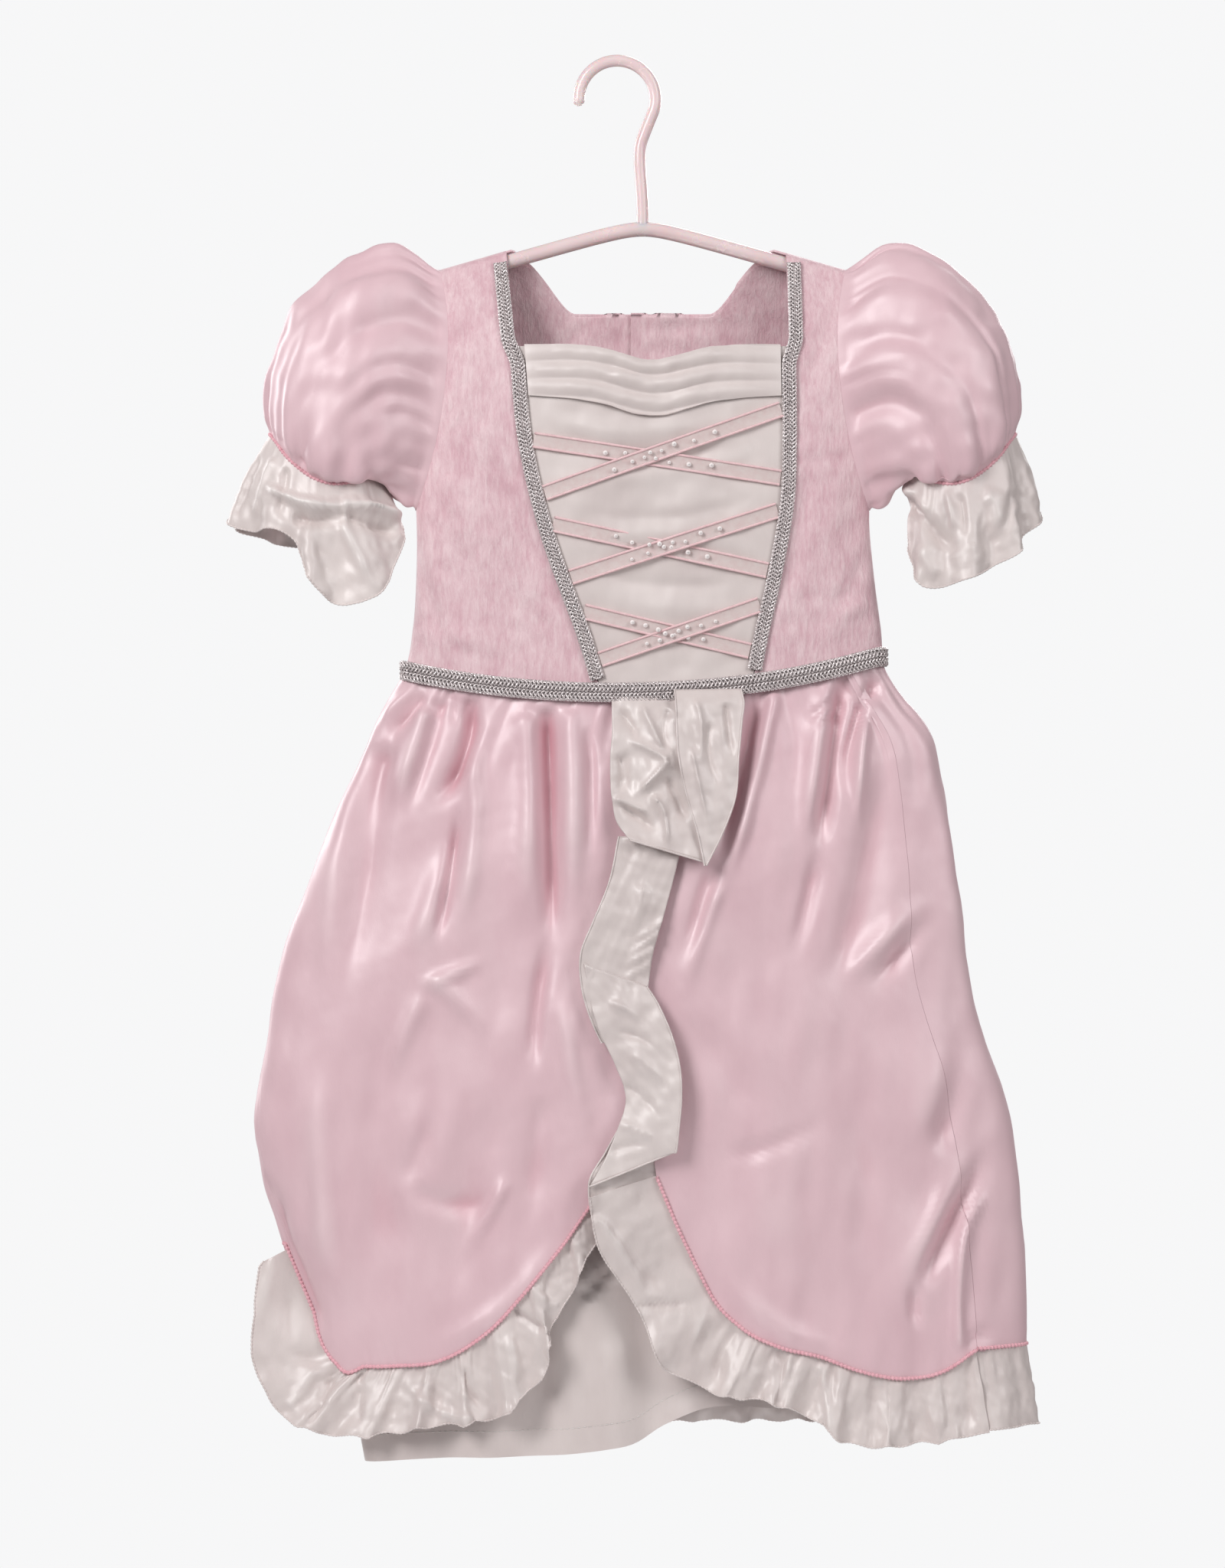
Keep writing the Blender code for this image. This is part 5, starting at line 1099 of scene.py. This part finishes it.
def underskirt(start, end):
    """Plain white satin underskirt, front or back."""

    def shape(across, t):
        s = start + SIDE_SHARE + (end - start - 2 * SIDE_SHARE) * across
        top_x = spot(WAIST_GUESS + 0 * across, s, UNDERSKIRT["inset"][0])[..., 0]
        top = waist_z(top_x, s < 0.5) - WAIST_SEAM
        hem_x = spot(HEM_GUESS + 0 * across, s, UNDERSKIRT["inset"][-1])[..., 0]
        z = top + (read(UNDER_HEM, "x", "z", hem_x) - top) * t
        return body_point(z, s, 0 * z, read(UNDERSKIRT, "drop", "inset", top - z))

    return shape


def under_grid(start, end, seed):
    """The underskirt with soft upright folds and a few creases."""
    across, down = share_grid(*UNDER_GRID)
    grid = underskirt(start, end)(across, down)
    edge = np.minimum(1, 10 * np.minimum(across, 1 - across))
    phase = 2 * math.pi * WAVES_UNDER * across
    wave = np.sin(phase + seed) + 0.5 * np.sin(phase * 1.7 + 2 * seed)
    height = read(UNDERSKIRT, "drop", "wave", grid[:1, :, 2] - grid[..., 2]) * wave * edge
    if start == 0:
        height += fold_field(grid[..., 0], grid[..., 2], FOLDS_UNDER)
    soft = 0.5 * crinkle(grid, 60, seed + 41, (1.5, 1, 0.3))
    soft += 0.16 * crinkle(grid, 18, seed + 42, (1, 1, 0.6))
    return raised(grid, height + soft * edge)


def to_front(along):
    """A front ruffle faces the front all along."""
    return -1.0 + 0 * along


def round_back(along):
    """The back ruffle faces the front as far as the right side, and the back beyond it."""
    corner = (0.5 - SIDE_SEAM_RIGHT) / (1 - SIDE_SEAM_RIGHT)
    return np.clip((along - corner) / corner, -1, 1)


def hem_cord(name, line, slot, look, radius=0.75, step=0.5):
    """An overlocked edge: a cord along the line with a bump for each loop of its thread."""
    path = even_steps(line, step)
    loops = 1 + 0.28 * np.cos(2 * math.pi * np.arange(len(path)) * step / LOOP_LENGTH)
    piece(name, *tube_mesh(path, radius * loops, 6), look, slot)


def cascade_grid(rows, seed):
    """One length of the cascade with its folds."""
    top, bottom = rows["z"].max(), rows["z"].min()
    across, t = share_grid(*CASCADE_GRID)
    z = top + (bottom - top) * t
    left, right, out_left, out_right, low_left, low_right = (
        read(rows, "z", name, z) for name in CASCADE_COLUMNS.split()[1:]
    )
    x = left + (right - left) * across
    z = z - low_left * (1 - across) - low_right * across
    out = out_left + (out_right - out_left) * across
    out += CASCADE_SCALE * fold_field(x, z, CASCADE_FOLDS, sharp=True)
    flat = np.stack([x, 0 * x, z], axis=-1)
    out += 0.55 * crinkle(flat, 17, seed) + 0.25 * crinkle(flat, 7, seed + 1)
    return front_point(x, z, out)


# Edges of each length of the cascade that aren't sewn or folded under
FREE_EDGES = {
    "under": ("bottom",),
    "leaf": ("left", "right"),
    "band": ("left",),
    "tail": ("left",),
    "lobe": ("right", "bottom"),
}


def build_cascade(looks):
    """The ruffle down the front, folded to and fro, with its rolled edge."""
    parts, edges = [], []
    for seed, (name, rows) in enumerate(CASCADES.items()):
        grid = cascade_grid(rows, 51 + 3 * seed)
        parts.append((grid.reshape(-1, 3), faces_of(*grid.shape[:2])))
        lines = {"left": grid[:, 0], "right": grid[:, -1], "bottom": grid[-1]}
        edges += [tube_mesh(even_steps(lines[edge], CORD_STEP), CASCADE_EDGE, 6) for edge in FREE_EDGES[name]]
    made = piece("front_cascade_satin", *joined(parts), looks["white_satin"], "white_satin")
    thicken(made, CLOTH)
    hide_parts("front_cascade")
    piece("front_cascade_edge", *joined(edges), looks["white_satin"], "white_satin")


def seam_tape(name, share, low_z, looks):
    """The pressed allowance behind a side seam of the overskirt, which fills the gap between its panels."""
    across, t = np.meshgrid(np.linspace(-1, 1, TAPE_COLUMNS), np.linspace(0, 1, TAPE_ROWS))
    z = WAIST_GUESS - 2 + (low_z - WAIST_GUESS) * t
    grid = body_point(z, share + TAPE_SHARE * across)
    grid = raised(grid, skirt_relief(grid) - TAPE_DEPTH)
    piece(name, grid.reshape(-1, 3), faces_of(*grid.shape[:2]), looks["pink_satin"], "pink_satin")


def build_skirts(looks):
    """Overskirt, its ruffles and overlocked seams, and the underskirt."""
    left_side, right_side = side_seam(SKIRT_SHARE), side_seam(SIDE_SEAM_RIGHT - SKIRT_SHARE)
    back_start, back_end = side_seam(SIDE_SEAM_RIGHT + SKIRT_SHARE), side_seam(1 - SKIRT_SHARE)
    left_opening, right_opening = front_opening("left"), front_opening("right")
    # For each panel: edges, hem, columns, gathers, waves of its ruffle, its cut, and its ruffle's length
    panels = (
        ("front_left", left_side, left_opening, HEM_LEFT, 130, 17, RUFFLE_LEFT, (0.22, 0.405), 0.3),
        ("front_right", right_opening, right_side, HEM_RIGHT, 120, 15, RUFFLE_RIGHT, (0.185, 0.405), 0.3),
        ("back", back_start, back_end, HEM_BACK, 188, 34, RUFFLE_BACK, (0.46, 0.415), 0.58),
    )
    for number, (name, start, end, hem, columns, gathers, waves, flat, ruffle_long) in enumerate(panels):
        if name == "back":
            facing, shares = round_back, (hem["share"] - SIDE_SEAM_RIGHT) / (1 - SIDE_SEAM_RIGHT)
            reach = (hem["outer_dx"], hem["outer_dz"])
        else:
            facing, shares = to_front, front_hem(hem, start, end)
            reach = (hem["outer_x"] - hem["x"], hem["outer_z"] - hem["z"])
        grid, depth = skirt_grid(overskirt(start, end, shares, hem["z"]), columns, gathers, 60 + 10 * number)
        solid = f"overskirt_{name}"
        # The fold height sets the panel's painted shade and painted highlight.
        cloth(f"{solid}_satin", grid, looks, "pink_satin", solid,
              depth=depth)
        seed = 100 + 10 * number
        ruffle, depth = ruffle_grid(grid[-1], shares, reach, hem["lift"], waves, facing, columns * 2, seed)
        solid = f"hem_ruffle_{name}"
        # The ruffle's fold height, doubled, sets how much painted shade and painted highlight its white satin
        # takes.
        cloth(f"{solid}_satin", ruffle, looks, "white_satin", solid,
              depth=2 * depth)
        hem_cord(f"{solid}_edge", ruffle[-1], "white_satin", looks["white_satin"], 0.55)
        line = grid[-1].copy()
        line[:, 1] += 0.5 * facing(np.linspace(0, 1, columns))
        hem_cord(f"{solid}_seam", line[SEAM_START[name]:], "pink_satin", looks["pink_thread"], 1.0)
    seam_tape("seam_tape_right", SIDE_SEAM_RIGHT, HEM_BACK["z"][0], looks)
    seam_tape("seam_tape_left", 1.0, HEM_LEFT["z"][0], looks)
    for seed, name in enumerate(("front", "back")):
        grid = under_grid(seed / 2, (seed + 1) / 2, seed)
        solid = f"underskirt_{name}"
        cloth(f"{solid}_satin", grid, looks, "white_satin", solid)
        hem = grid[-4] + way_out(grid)[-4] * 0.1
        piece(f"{solid}_hem_stitches", *stitches(hem), looks["white_thread"], "white_satin")


def stitches(line, pitch=3.4, length=2.3, radius=0.22):
    """A row of thread stitches along a line."""
    path = even_steps(line, pitch)
    parts = []
    for middle, way in zip(path[1:-1], headings(path)[1:-1]):
        ends = np.linspace(-length / 2, length / 2, 4)[:, None] * way
        parts.append(tube_mesh(middle + ends, np.array([0.5, 1, 1, 0.5]) * radius, 5))
    return joined(parts)


# Sleeves


def puff_ring(angle, along):
    """Point of the right puff sleeve without its gathers, and the way out from its middle."""
    names = ("outer_x", "outer_z", "inner_x", "inner_z", "depth", "sag")
    outer_x, outer_z, inner_x, inner_z, depth, sag = (read(PUFF, "along", name, along) for name in names)
    out = np.cos(angle) / 2
    way = np.stack([(outer_x - inner_x) * out, -depth * np.sin(angle), (outer_z - inner_z) * out], axis=-1)
    middle = np.stack([(outer_x + inner_x) / 2, 0 * sag, (outer_z + inner_z) / 2], axis=-1)
    droop = np.stack([0 * sag, 0 * sag, sag * np.sin(angle) ** 2], axis=-1)
    return middle + way - droop, way / np.linalg.norm(way, axis=-1)[..., None]


def armhole_ring(angle):
    """The armhole as a ring: the shoulder at angle 0, the front at a quarter turn, the underarm at a half."""
    top = PUFF["outer_z"][0]
    z = top + (UNDERARM_Z - top) * (1 - np.cos(angle)) / 2
    x = read(ARMHOLE, "z", "x", z)
    depth = np.abs(front_point(x, z)[..., 1])
    return np.stack([x + ARMHOLE_GAP, -depth * np.sign(np.sin(angle)), z], axis=-1)


def puff(across, t):
    """Right puff sleeve of pink satin, gathered at the armhole and at the cuff."""
    angle = 2 * math.pi * across
    point, way = puff_ring(angle, t)
    start, _ = puff_ring(angle, 0 * t)
    point = point + (armhole_ring(angle) - start) * np.clip(1 - t / ARMHOLE_BLEND, 0, 1)[..., None] ** 2
    wave = np.sin(2 * math.pi * WAVES_SLEEVE * across + 0.4 * np.sin(angle))
    return point + way * (read(SLEEVE_GATHER, "along", "height", t) * wave)[..., None]


def cuff(rows):
    """White satin ruffle round the cuff seam of the right sleeve."""

    def shape(across, t):
        angle = 2 * math.pi * across
        seam = puff(across, np.ones_like(across))
        _, way = puff_ring(angle, np.ones_like(across))
        edge_x, edge_z, height = (read(rows, "angle", name, np.degrees(angle)) for name in ("x", "z", "wave"))
        down = np.stack([edge_x, -CUFF_DEPTH * np.sin(angle), edge_z], axis=-1) - seam
        wave = height * np.sin(2 * math.pi * WAVES_CUFF * across + 0.8 * np.sin(angle)) * t
        bell = (1 + np.cos(angle)) * np.sin(math.pi * t)
        return seam + down * t[..., None] + way * (1, 1, 0) * (wave + bell)[..., None]

    return shape


# Gathers of a sleeve: whether they start at the cuff, their number, and the least and the most of their
# length, depth and width
SLEEVE_PUCKERS = (
    (False, 16, (80, 150), (2.4, 5.4), (2.6, 5.0)),
    (False, 40, (14, 60), (1.0, 3.0), (1.2, 2.4)),
    (True, 14, (50, 110), (2.0, 4.6), (2.4, 4.6)),
    (True, 42, (10, 50), (1.0, 2.6), (1.2, 2.2)),
)


def build_sleeves(looks):
    """Puff sleeves with gathers at both seams, and their cuff ruffles."""
    sides = (("right", 1, CUFF_RIGHT, FOLDS_CUFF_RIGHT, 200), ("left", -1, CUFF_LEFT, FOLDS_CUFF_LEFT, 230))
    for side, sign, rows, folds, seed in sides:
        mirror = (sign, 1, 1)
        across, t = share_grid(SLEEVE_COLUMNS, SLEEVE_ROWS, closed=True)
        grid = puff(across, t)
        span = 2 * math.pi * (30 + 30 * np.sin(math.pi * np.clip(t, 0, 1)))
        height = np.zeros_like(t)
        for extra, (from_cuff, count, *sizes) in enumerate(SLEEVE_PUCKERS):
            drop = (1 - t if from_cuff else t) * SLEEVE_LENGTH
            height += puckers(across, drop, span, count, seed + extra, *sizes)
        soft = 1.0 * crinkle(grid, 44, seed + 4) + 0.5 * crinkle(grid, 17, seed + 5)
        height += soft * np.sin(math.pi * t)
        height *= ease(0, 0.03, t) * (0.3 + 0.7 * ease(0, 0.05, 1 - t))
        grid = raised(grid, height, closed=True, flip=True)
        allowance = grid[:1] * (1, 0.94, 1) - (3.2, 0, 0)
        grid = np.concatenate([allowance, grid])
        # The sleeve's fold height sets its painted shade and painted highlight.
        cloth(f"sleeve_{side}_satin", grid * mirror, looks, "pink_satin", f"sleeve_{side}",
              closed=True, flip=sign > 0,
              depth=np.concatenate([height[:1], height]))
        across, t = share_grid(CUFF_COLUMNS, CUFF_ROWS, closed=True)
        ruffle = cuff(rows)(across, t)
        height = puckers(across, t * CUFF_LENGTH, CUFF_GIRTH, 60, seed + 5, (8, 34), (0.5, 1.4), (1.2, 2.6))
        height += 0.7 * crinkle(ruffle, 18, seed + 6) * t
        height += 0.3 * crinkle(ruffle, 7, seed + 7) * np.minimum(1, 3 * t)
        height += 1.3 * fold_field(ruffle[..., 0], ruffle[..., 2], folds) * ease(0, 12, -ruffle[..., 1])
        height *= np.minimum(1, 0.3 + 3 * t)
        ruffle = raised(ruffle, height, closed=True, flip=True)
        solid = f"cuff_ruffle_{side}"
        # The cuff's fold height, made half as much again, sets its painted shade and painted highlight.
        cloth(f"{solid}_satin", ruffle * mirror, looks, "white_satin", solid,
              closed=True, flip=sign > 0, depth=1.5 * height)
        edge, seam = (np.concatenate([row, row[:2]]) * mirror for row in (ruffle[-1], ruffle[0]))
        hem_cord(f"{solid}_edge", edge, "white_satin", looks["white_satin"], 0.55)
        hem_cord(f"{solid}_seam", seam, "pink_satin", looks["pink_thread"], 0.9)


# Hanger


def round_end(distance, radius):
    """Share of a rod's radius at a distance from its rounded end."""
    return np.sqrt(np.clip(1 - (1 - np.minimum(1, (distance + TIP_FLAT) / radius)) ** 2, 0, 1))


def build_hanger(looks):
    """The moulded hanger: its hook with a rounded tip, the crown and the two arms."""
    radius = HOOK_INSIDE + WIRE_RADIUS
    arc = np.radians(np.linspace(*HOOK_TURN, 60))
    hook = [(radius * math.cos(a), 0.0, radius * math.sin(a) - HOOK_INSIDE) for a in arc]
    arm_top = SHOULDER_Z - SHOULDER_RADIUS
    crown = (DRESS_X, 0.0, arm_top - SHOULDER_SLOPE * CROWN_RADIUS)
    neck = [(16.0, 0, -39.5), (13.6, 0, -47), (13.2, 0, -56), (14.0, 0, -68), (14.8, 0, -80), crown]
    bend = np.array([hook[-1], *neck])
    fine = np.linspace(0, len(neck), 60)[1:]
    lower = np.stack([smooth(np.arange(len(bend)), bend[:, k], fine) for k in range(3)], axis=1)
    path = even_steps(np.concatenate([hook, lower]), ROD_STEP) - (DRESS_X, 0, 0)
    wire = tube_mesh(path, WIRE_RADIUS * round_end(np.arange(len(path)) * ROD_STEP, WIRE_RADIUS), ROD_SIDES)
    x = np.linspace(-ARM_LENGTH, ARM_LENGTH, 160)
    z = arm_top - SHOULDER_SLOPE * np.sqrt(x**2 + CROWN_RADIUS**2)
    ends = round_end(ARM_LENGTH - np.abs(x), ARM_RADIUS)
    arms = tube_mesh(np.stack([x, 0 * x, z], axis=1), ARM_RADIUS * ends, ROD_SIDES)
    made = piece("hanger_moulding", *joined([wire, arms]), looks["plastic"], "hanger_plastic")
    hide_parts("hanger")


# Materials


def node(tree, kind, settings=None, **inputs):
    """A shader node, with its settings and its inputs as values or links."""
    made = tree.nodes.new(kind)
    for name, value in (settings or {}).items():
        setattr(made, name, value)
    for name, value in inputs.items():
        socket = made.inputs[name.replace("_", " ")]
        if isinstance(value, bpy.types.NodeSocket):
            tree.links.new(value, socket)
        else:
            socket.default_value = value
    return made


def finish(name, **values):
    """A material whose Principled shader has these values, with its tree and shader."""
    made = bpy.data.materials.new(name)
    made.use_nodes = True
    shader = made.node_tree.nodes["Principled BSDF"]
    for key, value in values.items():
        shader.inputs[key.replace("_", " ")].default_value = value
    return made, made.node_tree, shader


def feed(shader, **values):
    """Links values to a shader's inputs."""
    for name, value in values.items():
        shader.id_data.links.new(value, shader.inputs[name.replace("_", " ")])


def noise(tree, scale, detail=3.0, roughness=0.55):
    """Noise whose grain is given in waves per metre, one number or one along each axis."""
    place = node(tree, "ShaderNodeTexCoord").outputs["Object"]
    scaled = node(tree, "ShaderNodeVectorMath", {"operation": "MULTIPLY"})
    tree.links.new(place, scaled.inputs[0])
    scaled.inputs[1].default_value = np.broadcast_to(scale, 3).tolist()
    values = {"Scale": 1.0, "Detail": detail, "Roughness": roughness}
    return node(tree, "ShaderNodeTexNoise", Vector=scaled.outputs[0], **values).outputs["Fac"]


def spread(tree, value, low, high, to_low, to_high):
    """A value moved from one range to another."""
    ends = {"From_Min": low, "From_Max": high, "To_Min": to_low, "To_Max": to_high}
    return node(tree, "ShaderNodeMapRange", Value=value, **ends).outputs["Result"]


def mottle(tree, scale, detail, low=0, high=1):
    """Noise spread over a range of values."""
    return spread(tree, noise(tree, scale, detail), 0.3, 0.7, low, high)


def mixed(tree, share, first, second):
    """A colour between two, by a share."""
    made = node(tree, "ShaderNodeMix", {"data_type": "RGBA"})
    tree.links.new(share, made.inputs[0])
    for socket, colour in ((made.inputs[6], first), (made.inputs[7], second)):
        if isinstance(colour, bpy.types.NodeSocket):
            tree.links.new(colour, socket)
        else:
            socket.default_value = (*colour, 1)
    return made.outputs[2]


def bumped(tree, height, distance, strength=1.0, under=None):
    """A normal bumped by a height in shares of the distance, in metres."""
    made = node(tree, "ShaderNodeBump", Height=height, Distance=distance, Strength=strength)
    if under is not None:
        tree.links.new(under, made.inputs["Normal"])
    return made.outputs["Normal"]


def mottled(name, dark, light, grain, bump, **values):
    """A finish whose colour wavers between two, over a fine bump: grain and detail of the first, and
    grain, distance and strength of the second."""
    made, tree, shader = finish(name, **values)
    feed(shader, Base_Color=mixed(tree, mottle(tree, *grain), dark, light))
    if bump:
        feed(shader, Normal=bumped(tree, noise(tree, bump[0], 2), *bump[1:]))
    return made, tree, shader


def satin(name, dark, light, deep, painted_crest_highlight):
    """Shiny satin: fine weave, faint crinkles, a soft broad gloss, painted shade (darker, richer colour) down
    in its folds and a painted highlight on their crests.
    """
    made, tree, shader = finish(name, Specular_IOR_Level=0.85, Anisotropic=0.4, Sheen_Weight=0.2,
                                Sheen_Roughness=0.35)
    fold = node(tree, "ShaderNodeAttribute", {"attribute_name": "fold"}).outputs["Fac"]
    flat = mixed(tree, mottle(tree, (30, 30, 14), 4), dark, light)
    # Painted shade: by the fold height, the colour turns darker and more saturated down in the troughs.
    colour = mixed(tree, spread(tree, fold, -11, -3.5, 0.9, 0), flat, deep)
    # Painted highlight: by the fold height, the colour turns lighter on the crests.
    colour = mixed(tree, spread(tree, fold, 2, 8, 0, 0.6), colour, painted_crest_highlight)
    crease = bumped(tree, noise(tree, (110, 110, 50), 4, 0.5), 0.0004, 0.35)
    weave = bumped(tree, noise(tree, (3200, 3200, 500), 1), 0.00006, 0.5, crease)
    feed(shader, Base_Color=colour, Roughness=mottle(tree, (60, 60, 30), 3, 0.37, 0.49), Normal=weave)
    return made


def velvet(name, dark, light):
    """Crushed velvet: streaky nap with patches that lean different ways."""
    made, tree, shader = finish(name, Roughness=0.55, Specular_IOR_Level=0.35, Sheen_Weight=0.7,
                                Sheen_Roughness=0.4, Sheen_Tint=(1.0, 0.88, 0.9, 1))
    both = node(tree, "ShaderNodeMath", {"operation": "ADD"})
    tree.links.new(noise(tree, (80, 80, 34), 5, 0.65), both.inputs[0])
    tree.links.new(noise(tree, (520, 520, 110), 4, 0.7), both.inputs[1])
    nap = bumped(tree, both.outputs[0], 0.0012, 0.6)
    pile = bumped(tree, noise(tree, (2600, 2600, 1500), 2), 0.0002, 0.5, nap)
    share = spread(tree, both.outputs[0], 0.78, 1.24, 0, 1)
    feed(shader, Base_Color=mixed(tree, share, dark, light), Normal=pile)
    return made


def glitter(name, low, high, grain, metallic):
    """Metallic thread whose small facets each catch the light differently."""
    made, tree, shader = finish(name, Metallic=metallic, Specular_IOR_Level=0.6)
    place = node(tree, "ShaderNodeTexCoord").outputs["Object"]
    cells = node(tree, "ShaderNodeTexVoronoi", Vector=place, Scale=grain)
    facet = node(tree, "ShaderNodeSeparateColor", Color=cells.outputs["Color"]).outputs
    feed(shader, Base_Color=mixed(tree, facet[0], low, high), Normal=bumped(tree, facet[2], 0.0005, 0.8),
         Roughness=spread(tree, facet[1], 0, 1, 0.18, 0.5))
    return made


def thread(name, dark, light):
    """Matt sewing thread, slightly uneven in colour."""
    values = {"Roughness": 0.62, "Sheen_Weight": 0.3, "Specular_IOR_Level": 0.35}
    return mottled(name, dark, light, (420, 3), (1600, 0.0002, 0.6), **values)[0]


def organza(name):
    """Sheer ribbon: a fine woven net that shows the satin through it."""
    values = {"Roughness": 0.4, "Alpha": 0.5, "Sheen_Weight": 0.4, "Specular_IOR_Level": 0.6}
    return mottled(name, (0.86, 0.70, 0.69), (0.90, 0.80, 0.78), (300, 3), (900, 0.0002, 0.5), **values)[0]


def plastic(name):
    """Pale moulded plastic that lets some light through."""
    colours = ((0.86, 0.68, 0.69), (0.92, 0.78, 0.78))
    made, tree, shader = mottled(name, *colours, (22, 2), (40, 0.0003, 0.3), Specular_IOR_Level=0.5,
                                 Subsurface_Weight=0.35, Subsurface_Scale=0.006, Transmission_Weight=0.15)
    feed(shader, Roughness=mottle(tree, 90, 3, 0.16, 0.3))
    return made


def make_looks():
    """All finishes of the dress."""
    pearl, _, _ = finish("pearl_bead", Base_Color=(0.93, 0.87, 0.86, 1), Roughness=0.25, Coat_Weight=0.6,
                         Coat_Roughness=0.12, Sheen_Weight=0.3)
    # Each satin: dark and light of its mottled tone, then its painted shade for deep folds and its painted
    # highlight for fold crests.
    pinks = ((0.70, 0.47, 0.515), (0.755, 0.535, 0.575), (0.61, 0.30, 0.35), (0.84, 0.67, 0.69))
    whites = ((0.63, 0.545, 0.53), (0.715, 0.635, 0.615), (0.50, 0.405, 0.39), (0.80, 0.74, 0.72))
    return {
        "pink_satin": satin("pink_satin_cloth", *pinks),
        "white_satin": satin("white_satin_cloth", *whites),
        "pink_velvet": velvet("pink_velvet_cloth", (0.66, 0.41, 0.46), (0.80, 0.60, 0.63)),
        "silver": glitter("silver_thread", (0.44, 0.385, 0.385), (0.95, 0.88, 0.88), 1500, 0.55),
        "silver_base": glitter("silver_strip", (0.24, 0.20, 0.20), (0.56, 0.52, 0.52), 700, 0.4),
        "organza": organza("sheer_ribbon"),
        "pink_thread": thread("pink_overlock_thread", (0.74, 0.36, 0.42), (0.82, 0.47, 0.52)),
        "ribbon_edge": thread("ribbon_edge_weave", (0.76, 0.50, 0.52), (0.84, 0.60, 0.61)),
        "white_thread": thread("white_sewing_thread", (0.66, 0.62, 0.60), (0.78, 0.75, 0.72)),
        "pearl": pearl,
        "plastic": plastic("hanger_moulded_plastic"),
    }


# Stage


def area_light(name, place, target, size, power):
    """A square soft light aimed at a point."""
    light = bpy.data.lights.new(name, "AREA")
    light.shape = "RECTANGLE"
    light.size, light.size_y = size
    light.energy = power
    made = bpy.data.objects.new(name, light)
    made.location = place
    made.rotation_euler = (Vector(target) - Vector(place)).to_track_quat("-Z", "Y").to_euler()
    bpy.context.scene.collection.objects.link(made)


def build_stage():
    """Camera straight on at the photograph's framing, soft studio light, and a pale floor below the dress."""
    scene = bpy.context.scene
    scene.view_settings.view_transform = "Standard"
    camera = bpy.data.cameras.new("camera")
    camera.lens = SENSOR * CAMERA_DISTANCE / (PHOTO_HEIGHT * MM_PER_PIXEL * MM)
    camera.sensor_width = SENSOR
    made = bpy.data.objects.new("camera", camera)
    right = (PHOTO_WIDTH / 2 - SEAT_PIXEL[0]) * MM_PER_PIXEL * MM
    down = (PHOTO_HEIGHT / 2 - SEAT_PIXEL[1]) * MM_PER_PIXEL * MM
    made.location = (right, -CAMERA_DISTANCE, -down)
    made.rotation_euler = (math.pi / 2, 0, 0)
    scene.collection.objects.link(made)
    scene.camera = made
    world = bpy.data.worlds.new("studio")
    world.use_nodes = True
    tree = world.node_tree
    seen = node(tree, "ShaderNodeBackground", Color=(0.93, 0.93, 0.935, 1), Strength=1.0)
    soft = node(tree, "ShaderNodeBackground", Color=(1.0, 0.985, 0.98, 1), Strength=AMBIENT)
    rays = node(tree, "ShaderNodeLightPath")
    both = node(tree, "ShaderNodeMixShader", Fac=rays.outputs["Is Camera Ray"])
    tree.links.new(soft.outputs[0], both.inputs[1])
    tree.links.new(seen.outputs[0], both.inputs[2])
    tree.links.new(both.outputs[0], tree.nodes["World Output"].inputs["Surface"])
    scene.world = world
    middle = (0.01, 0, -0.45)
    area_light("key", (-1.5, -2.0, 0.9), middle, (1.0, 1.4), KEY_POWER)
    area_light("fill", (1.8, -1.8, 0.7), middle, (1.2, 1.6), FILL_POWER)
    area_light("rim_back", (0.8, 2.0, 0.8), middle, (1.2, 1.4), BACK_POWER)
    area_light("rim_back_left", (-1.8, 1.5, 0.2), middle, (1.0, 1.4), BACK_POWER * 0.7)
    bpy.ops.mesh.primitive_circle_add(vertices=96, radius=0.8, fill_type="NGON", location=(0.01, 0, -1.2))
    floor = bpy.context.object
    floor.name = "floor"
    look = mottled("floor_paint", (0.84, 0.84, 0.845), (0.87, 0.87, 0.875), (6, 3), None, Roughness=0.7)[0]
    floor.data.materials.append(look)


for old in list(bpy.data.objects):
    bpy.data.objects.remove(old)
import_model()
build_stage()
looks = make_looks()
build_hanger(looks)
build_bodice(looks)
build_braids(looks)
build_lacing(looks)
build_skirts(looks)
build_cascade(looks)
build_sleeves(looks)
